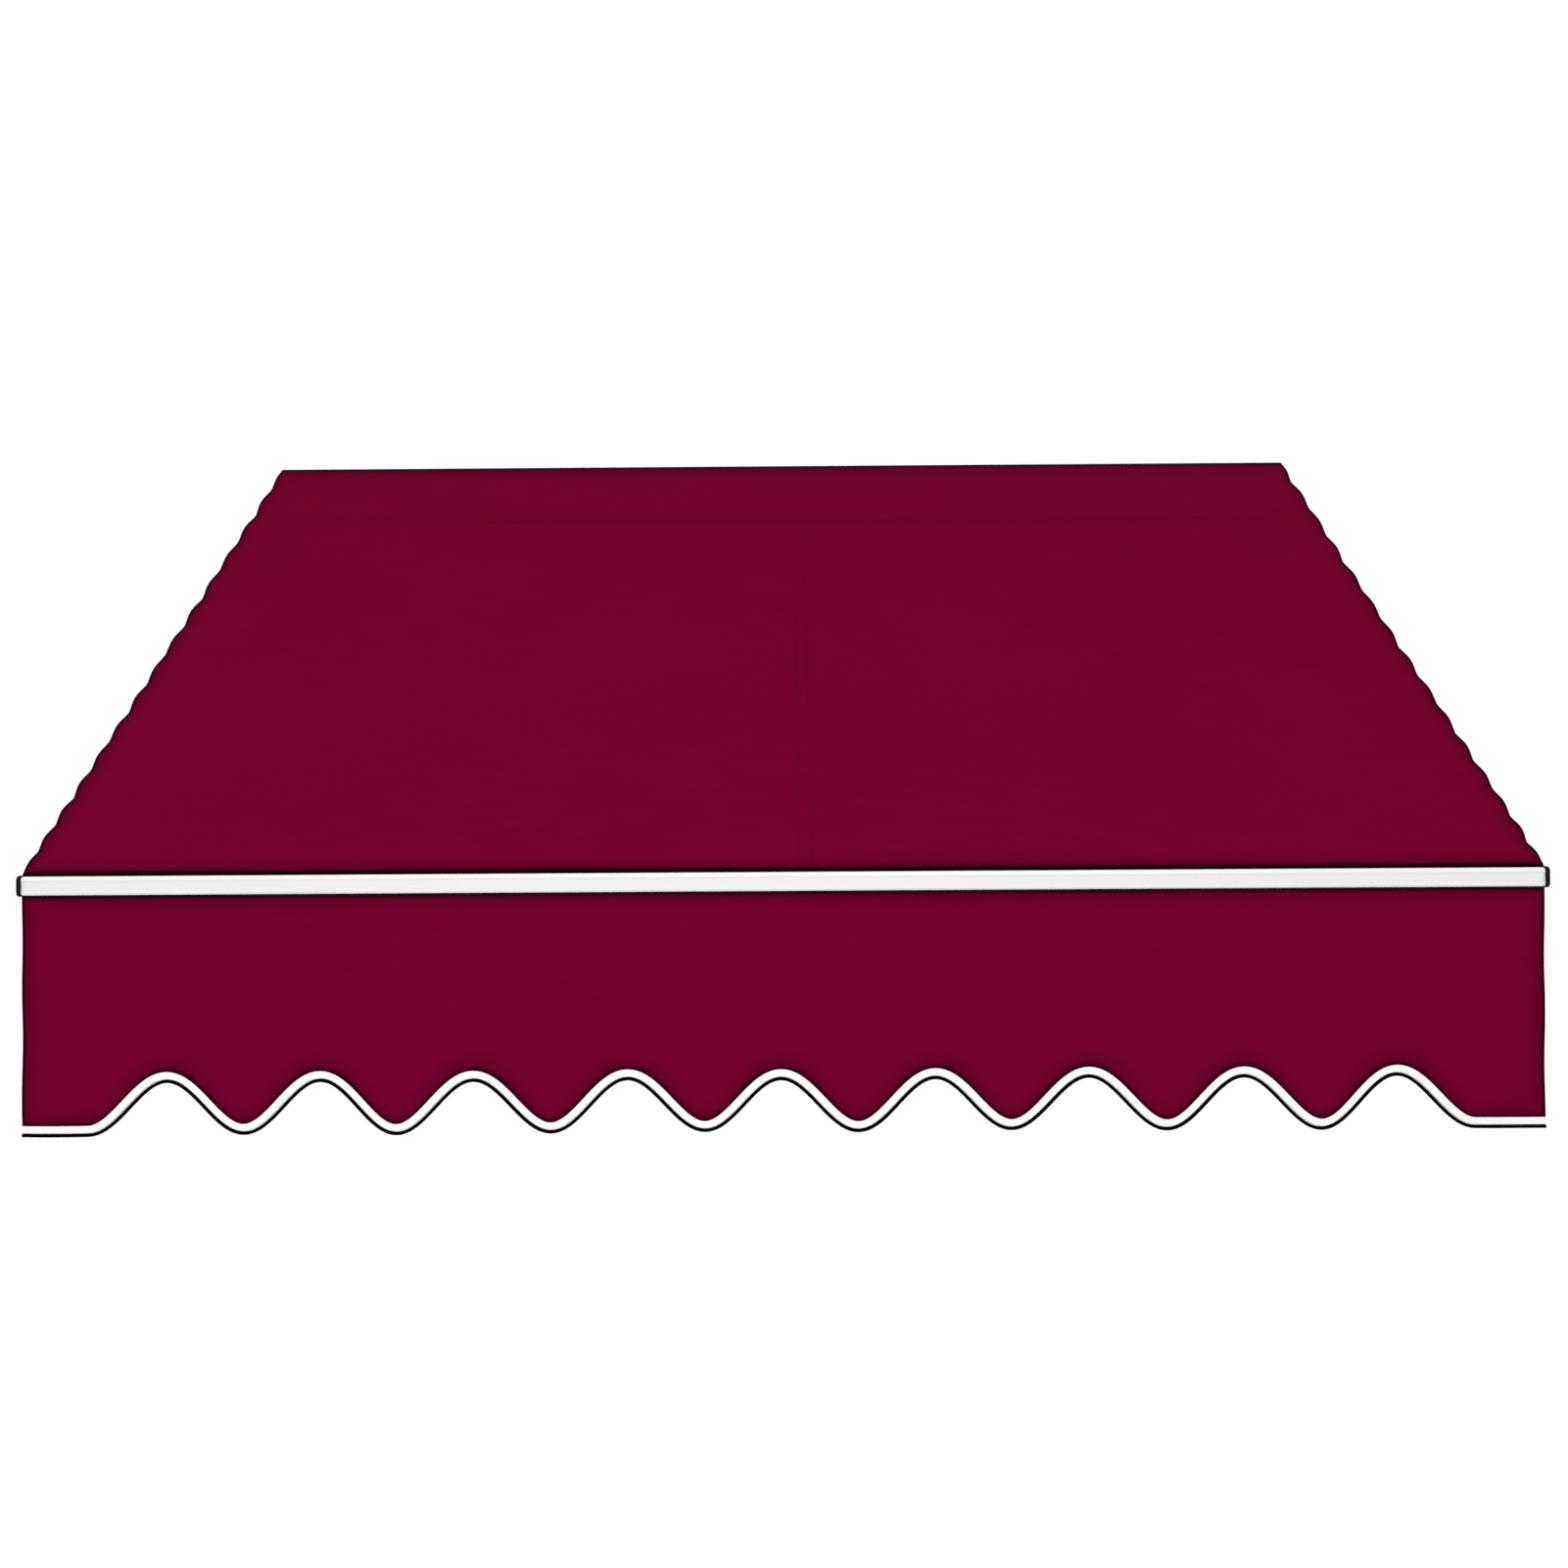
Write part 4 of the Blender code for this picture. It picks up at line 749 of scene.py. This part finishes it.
def make_valance():
    """The valance cloth: a bead in the rail, then rows that turn from straight to scalloped."""
    loop = bead((CLOTH_Y, RAIL_BOTTOM + CHANNEL_DEPTH), -1)
    way = unit(np.gradient(loop, axis=0))
    beyond = np.stack([way[:, 1], -way[:, 0]], axis=-1)
    fold, slope = lower_edge(VALANCE_XS)
    stretch = np.hypot(1, slope)
    upper = RAIL_BOTTOM - EDGE_STEPS
    from_fold = np.concatenate([BINDING_WIDTH + EDGE_STEPS[::-1], [TAPED_ROW, BINDING_TAPE + 2 * SEAT_GAP]])
    lower = fold + from_fold[:, None] * stretch
    share = np.linspace(0, 1, VALANCE_ROWS)[1:-1, None]
    middle = upper[-1] * (1 - share) + lower[0] * share
    heights = np.concatenate([np.broadcast_to(upper[:, None], (len(upper), len(fold))), middle, lower])
    in_band = np.abs(VALANCE_XS - SEAM_PLACE) < SEAM_WIDTH / 2 + SEAM_MARGIN
    lift = CLOTH / 2 + SEAM_RISE * in_band * (heights < RAIL_BOTTOM - SEAM_STEP)
    across = np.broadcast_to(VALANCE_XS, heights.shape)
    bead_x = np.broadcast_to(VALANCE_XS, (len(loop), len(VALANCE_XS)))
    layers = []
    for sign, body_lift in ((1, lift), (-1, np.full(heights.shape, -CLOTH / 2))):
        line = loop + sign * CLOTH / 2 * beyond
        bead_y, bead_z = [np.broadcast_to(line[:, k, None], bead_x.shape) for k in (0, 1)]
        tucked = np.stack([bead_x, bead_y, bead_z], axis=-1)
        layers.append(np.concatenate([tucked, valance_point(across, heights, body_lift)]))
    run = np.concatenate([[0], np.cumsum(np.linalg.norm(np.diff(loop, axis=0), axis=1))])
    flat_v = np.concatenate([np.broadcast_to(RAIL_BOTTOM + run[-1] - run[:, None], bead_x.shape), heights])
    from_edge = np.concatenate([np.full(len(upper) + len(share), 1.0), from_fold - BINDING_WIDTH])
    # The edge distance sets painted shade at the sides, under the rail and above the binding
    gap = np.minimum.reduce([
        HALF_WIDTH - np.abs(across), RAIL_BOTTOM - RAIL_SHADE - heights,
        np.broadcast_to(from_edge[:, None], heights.shape),
    ])
    # The bead inside the rail's channel is painted fully dark, as shade
    gap = np.concatenate([np.zeros_like(bead_x), np.clip(gap, 0, None)])
    every_x = np.concatenate([bead_x, across])
    cloth = cloth_mesh("valance_cloth", layers[0], layers[1], np.stack([every_x, flat_v], axis=-1), gap)
    finish_piece(cloth, canvas)
    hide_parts("valance")
    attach(cloth, "rail_set")
    area = float(np.trapz(RAIL_BOTTOM + run[-1] - fold, VALANCE_XS))
    return cloth, area


def edge_section(x, section):
    """A section of (depth, height off the fold) carried along the valance's edge at right angles to it."""
    fold, slope = lower_edge(x)
    size = np.hypot(1, slope)
    depth, lift = section[:, 0], section[:, 1]
    across = x[:, None] - lift * (slope / size)[:, None]
    height = fold[:, None] + lift / size[:, None]
    return valance_point(across, height, -depth[None, :] * np.ones_like(across))


def make_edging():
    """Binding tape folded over the edge, the cord below it, and the tape's stitches."""
    outside = CLOTH / 2 + SEAM_RISE + SEAT_GAP + BINDING_TAPE
    inside = outside - BINDING_TAPE
    round_out = arc((0, outside), outside, 180, 360, FOLD_STEPS)
    round_in = arc((0, outside), inside, 360, 180, FOLD_STEPS)
    below_lip = BINDING_WIDTH - TAPE_LIP
    section = np.vstack([
        [(-inside, BINDING_WIDTH), (-outside + TAPE_LIP, BINDING_WIDTH), (-outside, below_lip)],
        round_out,
        [(outside, below_lip), (outside - TAPE_LIP, BINDING_WIDTH), (inside, BINDING_WIDTH)],
        round_in,
    ])
    binding = sweep_mesh("valance_tape", edge_section(VALANCE_XS, section), 2 * BINDING_WIDTH)
    finish_piece(binding, tape)
    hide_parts("valance_binding")
    # The black cord: partly a real cord, partly painted shade under the binding
    last = 360 - 360 / CORD_SIDES
    circle = arc((0, -SEAT_GAP - PIPING_RADIUS), PIPING_RADIUS, 0, last, CORD_SIDES - 1)
    piping = sweep_mesh("valance_cord", edge_section(VALANCE_XS, circle[::-1]), 2 * math.pi * PIPING_RADIUS)
    finish_piece(piping, cord)
    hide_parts("valance_piping")
    fold = lower_edge(VALANCE_XS)[0]
    run = np.concatenate([[0], np.cumsum(np.hypot(np.diff(VALANCE_XS), np.diff(fold)))])
    length = float(run[-1])
    begin = np.arange(TAPE_STITCH_START, length - STITCH_PITCH, STITCH_PITCH)
    pieces = []
    for side in (-1, 1):
        ends = []
        for place in (begin, begin + STITCH_LENGTH):
            x = np.interp(place, run, VALANCE_XS)
            section = np.array([(side * outside, BINDING_WIDTH - TAPE_STITCH_INSET)])
            ends.append(edge_section(x, section)[:, 0])
        pieces.append((ends[0], ends[1], np.broadcast_to((0.0, float(side), 0.0), ends[0].shape)))
    start, end, out = [np.concatenate(part) for part in zip(*pieces)]
    stitches = stitch_mesh("tape_stitches", start, end, out)
    finish_piece(stitches, white_thread)
    for piece in (binding, piping, stitches):
        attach(piece, "rail_set")
    return [binding, piping, stitches]


# Where each part of the roof's turn starts and ends: (distance down the slope, share of the turn)
AT_ROD, AT_HEM, AT_FRONT, AT_FOOT = (0.016, 0.0), (HEAD_HEM, 0.2375), (FRONT_START, 0.8238), (FOOT_START, 1.0)
FOOT_TURN = ((FOOT_START, 0.0), (0.950, 1.0))
LIFTED, TILTED = ("root", "side_arms"), ("side_arms", "rail_set")
roof_panel("roof_head", ROOF_START, HEAD_HEM, LIFTED, AT_ROD, AT_HEM, ["head_rod"])
roof_panel("roof_main", HEAD_HEM, FRONT_START, LIFTED, AT_HEM, AT_FRONT, ["head_rod"])
roof_panel("roof_front", FRONT_START, FOOT_START, LIFTED, AT_FRONT, AT_FOOT, ["front_rail"])
roof_panel("roof_foot", FOOT_START, ROOF_END, TILTED, *FOOT_TURN, ["front_rail"])
valance_cloth, valance_area = make_valance()
edging = make_edging()

# The pale floor and the white surroundings
FLOOR_HEIGHT = -2.6
FLOOR_HALF = 30
FLOOR_GLOW = 0.42
WORLD_LIGHT = 0.80


def seen_directly(tree):
    """One for rays of the camera, of gloss and through glass, and else nought."""
    rays = add_node(tree, "ShaderNodeLightPath").outputs
    seen = rays["Is Camera Ray"]
    for kind in ("Is Glossy Ray", "Is Transmission Ray"):
        seen = add_node(tree, "ShaderNodeMath", {0: seen, 1: rays[kind]}, operation="MAXIMUM").outputs[0]
    return seen


def make_floor():
    """A wide level floor, its shadow kept: a pale diffuse face plus light that only the viewer sees."""
    square = np.array([(-1, -1, 0), (1, -1, 0), (1, 1, 0), (-1, 1, 0)])
    floor = plain_mesh("floor", FLOOR_HALF * square + (0, 0, FLOOR_HEIGHT), [np.arange(4)])
    material = bpy.data.materials.new("pale_floor")
    material.use_nodes = True
    tree = material.node_tree
    tree.nodes.clear()
    strength = add_node(tree, "ShaderNodeMath", {0: seen_directly(tree), 1: FLOOR_GLOW}, operation="MULTIPLY")
    glow = add_node(tree, "ShaderNodeEmission", {"Color": (1, 1, 1, 1), "Strength": strength.outputs[0]})
    face = add_node(tree, "ShaderNodeBsdfDiffuse", {"Color": linear("#E6E6E6")})
    both = add_node(tree, "ShaderNodeAddShader", {0: glow.outputs[0], 1: face.outputs[0]})
    add_node(tree, "ShaderNodeOutputMaterial", {"Surface": both.outputs[0]})
    floor.data.materials.append(material)


def make_world():
    """White to the viewer and in gloss, and a plain even light on the object."""
    world = bpy.data.worlds.new("studio")
    world.use_nodes = True
    tree = world.node_tree
    tree.nodes.clear()
    strength = add_node(
        tree, "ShaderNodeMapRange", {"Value": seen_directly(tree), "To Min": WORLD_LIGHT, "To Max": 1.0}
    )
    light = add_node(tree, "ShaderNodeBackground", {"Color": (1, 1, 1, 1), "Strength": strength.outputs[0]})
    add_node(tree, "ShaderNodeOutputWorld", {"Surface": light.outputs[0]})
    bpy.context.scene.world = world


# A soft lamp in front of the awning and a little above it, aimed at the rail
LAMP_PLACE = (-0.25, -3.8, 0.3)
LAMP_AIM = (0.0, -0.6, -0.6)
LAMP_SIZE = 2.4
LAMP_POWER = 39


def add_lamp(name, place, aim, size, power):
    """A square soft lamp turned to a point."""
    lamp = bpy.data.lights.new(name, "AREA")
    lamp.size = size
    lamp.energy = power
    thing = bpy.data.objects.new(name, lamp)
    thing.location = place
    thing.rotation_mode = "QUATERNION"
    thing.rotation_quaternion = (Vector(aim) - Vector(place)).to_track_quat("-Z", "Y")
    bpy.context.scene.collection.objects.link(thing)


# The camera, fitted to the outline in the photograph
CAMERA_PLACE = (0.0074, -2.0456, -0.5599)
CAMERA_YAW = 0.0029
CAMERA_ROLL = -0.0065
CAMERA_LENS = 25.593
SENSOR_WIDTH = 36.0
CLIP_NEAR, CLIP_FAR = 0.05, 100.0


def make_camera():
    """A level camera with a slight roll, looking along the wall's normal."""
    camera = bpy.data.cameras.new("camera")
    camera.sensor_width = SENSOR_WIDTH
    camera.lens = CAMERA_LENS
    camera.clip_start, camera.clip_end = CLIP_NEAR, CLIP_FAR
    forward = Vector((-math.sin(CAMERA_YAW), math.cos(CAMERA_YAW), 0))
    level = Vector((math.cos(CAMERA_YAW), math.sin(CAMERA_YAW), 0))
    up = Vector((0, 0, 1))
    right = level * math.cos(CAMERA_ROLL) + up * math.sin(CAMERA_ROLL)
    above = up * math.cos(CAMERA_ROLL) - level * math.sin(CAMERA_ROLL)
    thing = bpy.data.objects.new("camera", camera)
    turn = Matrix((right, above, -forward)).transposed().to_4x4()
    thing.matrix_world = Matrix.Translation(CAMERA_PLACE) @ turn
    bpy.context.scene.collection.objects.link(thing)
    bpy.context.scene.camera = thing


make_floor()
make_world()
add_lamp("key", LAMP_PLACE, LAMP_AIM, LAMP_SIZE, LAMP_POWER)
make_camera()
bpy.context.scene.view_settings.view_transform = "Standard"
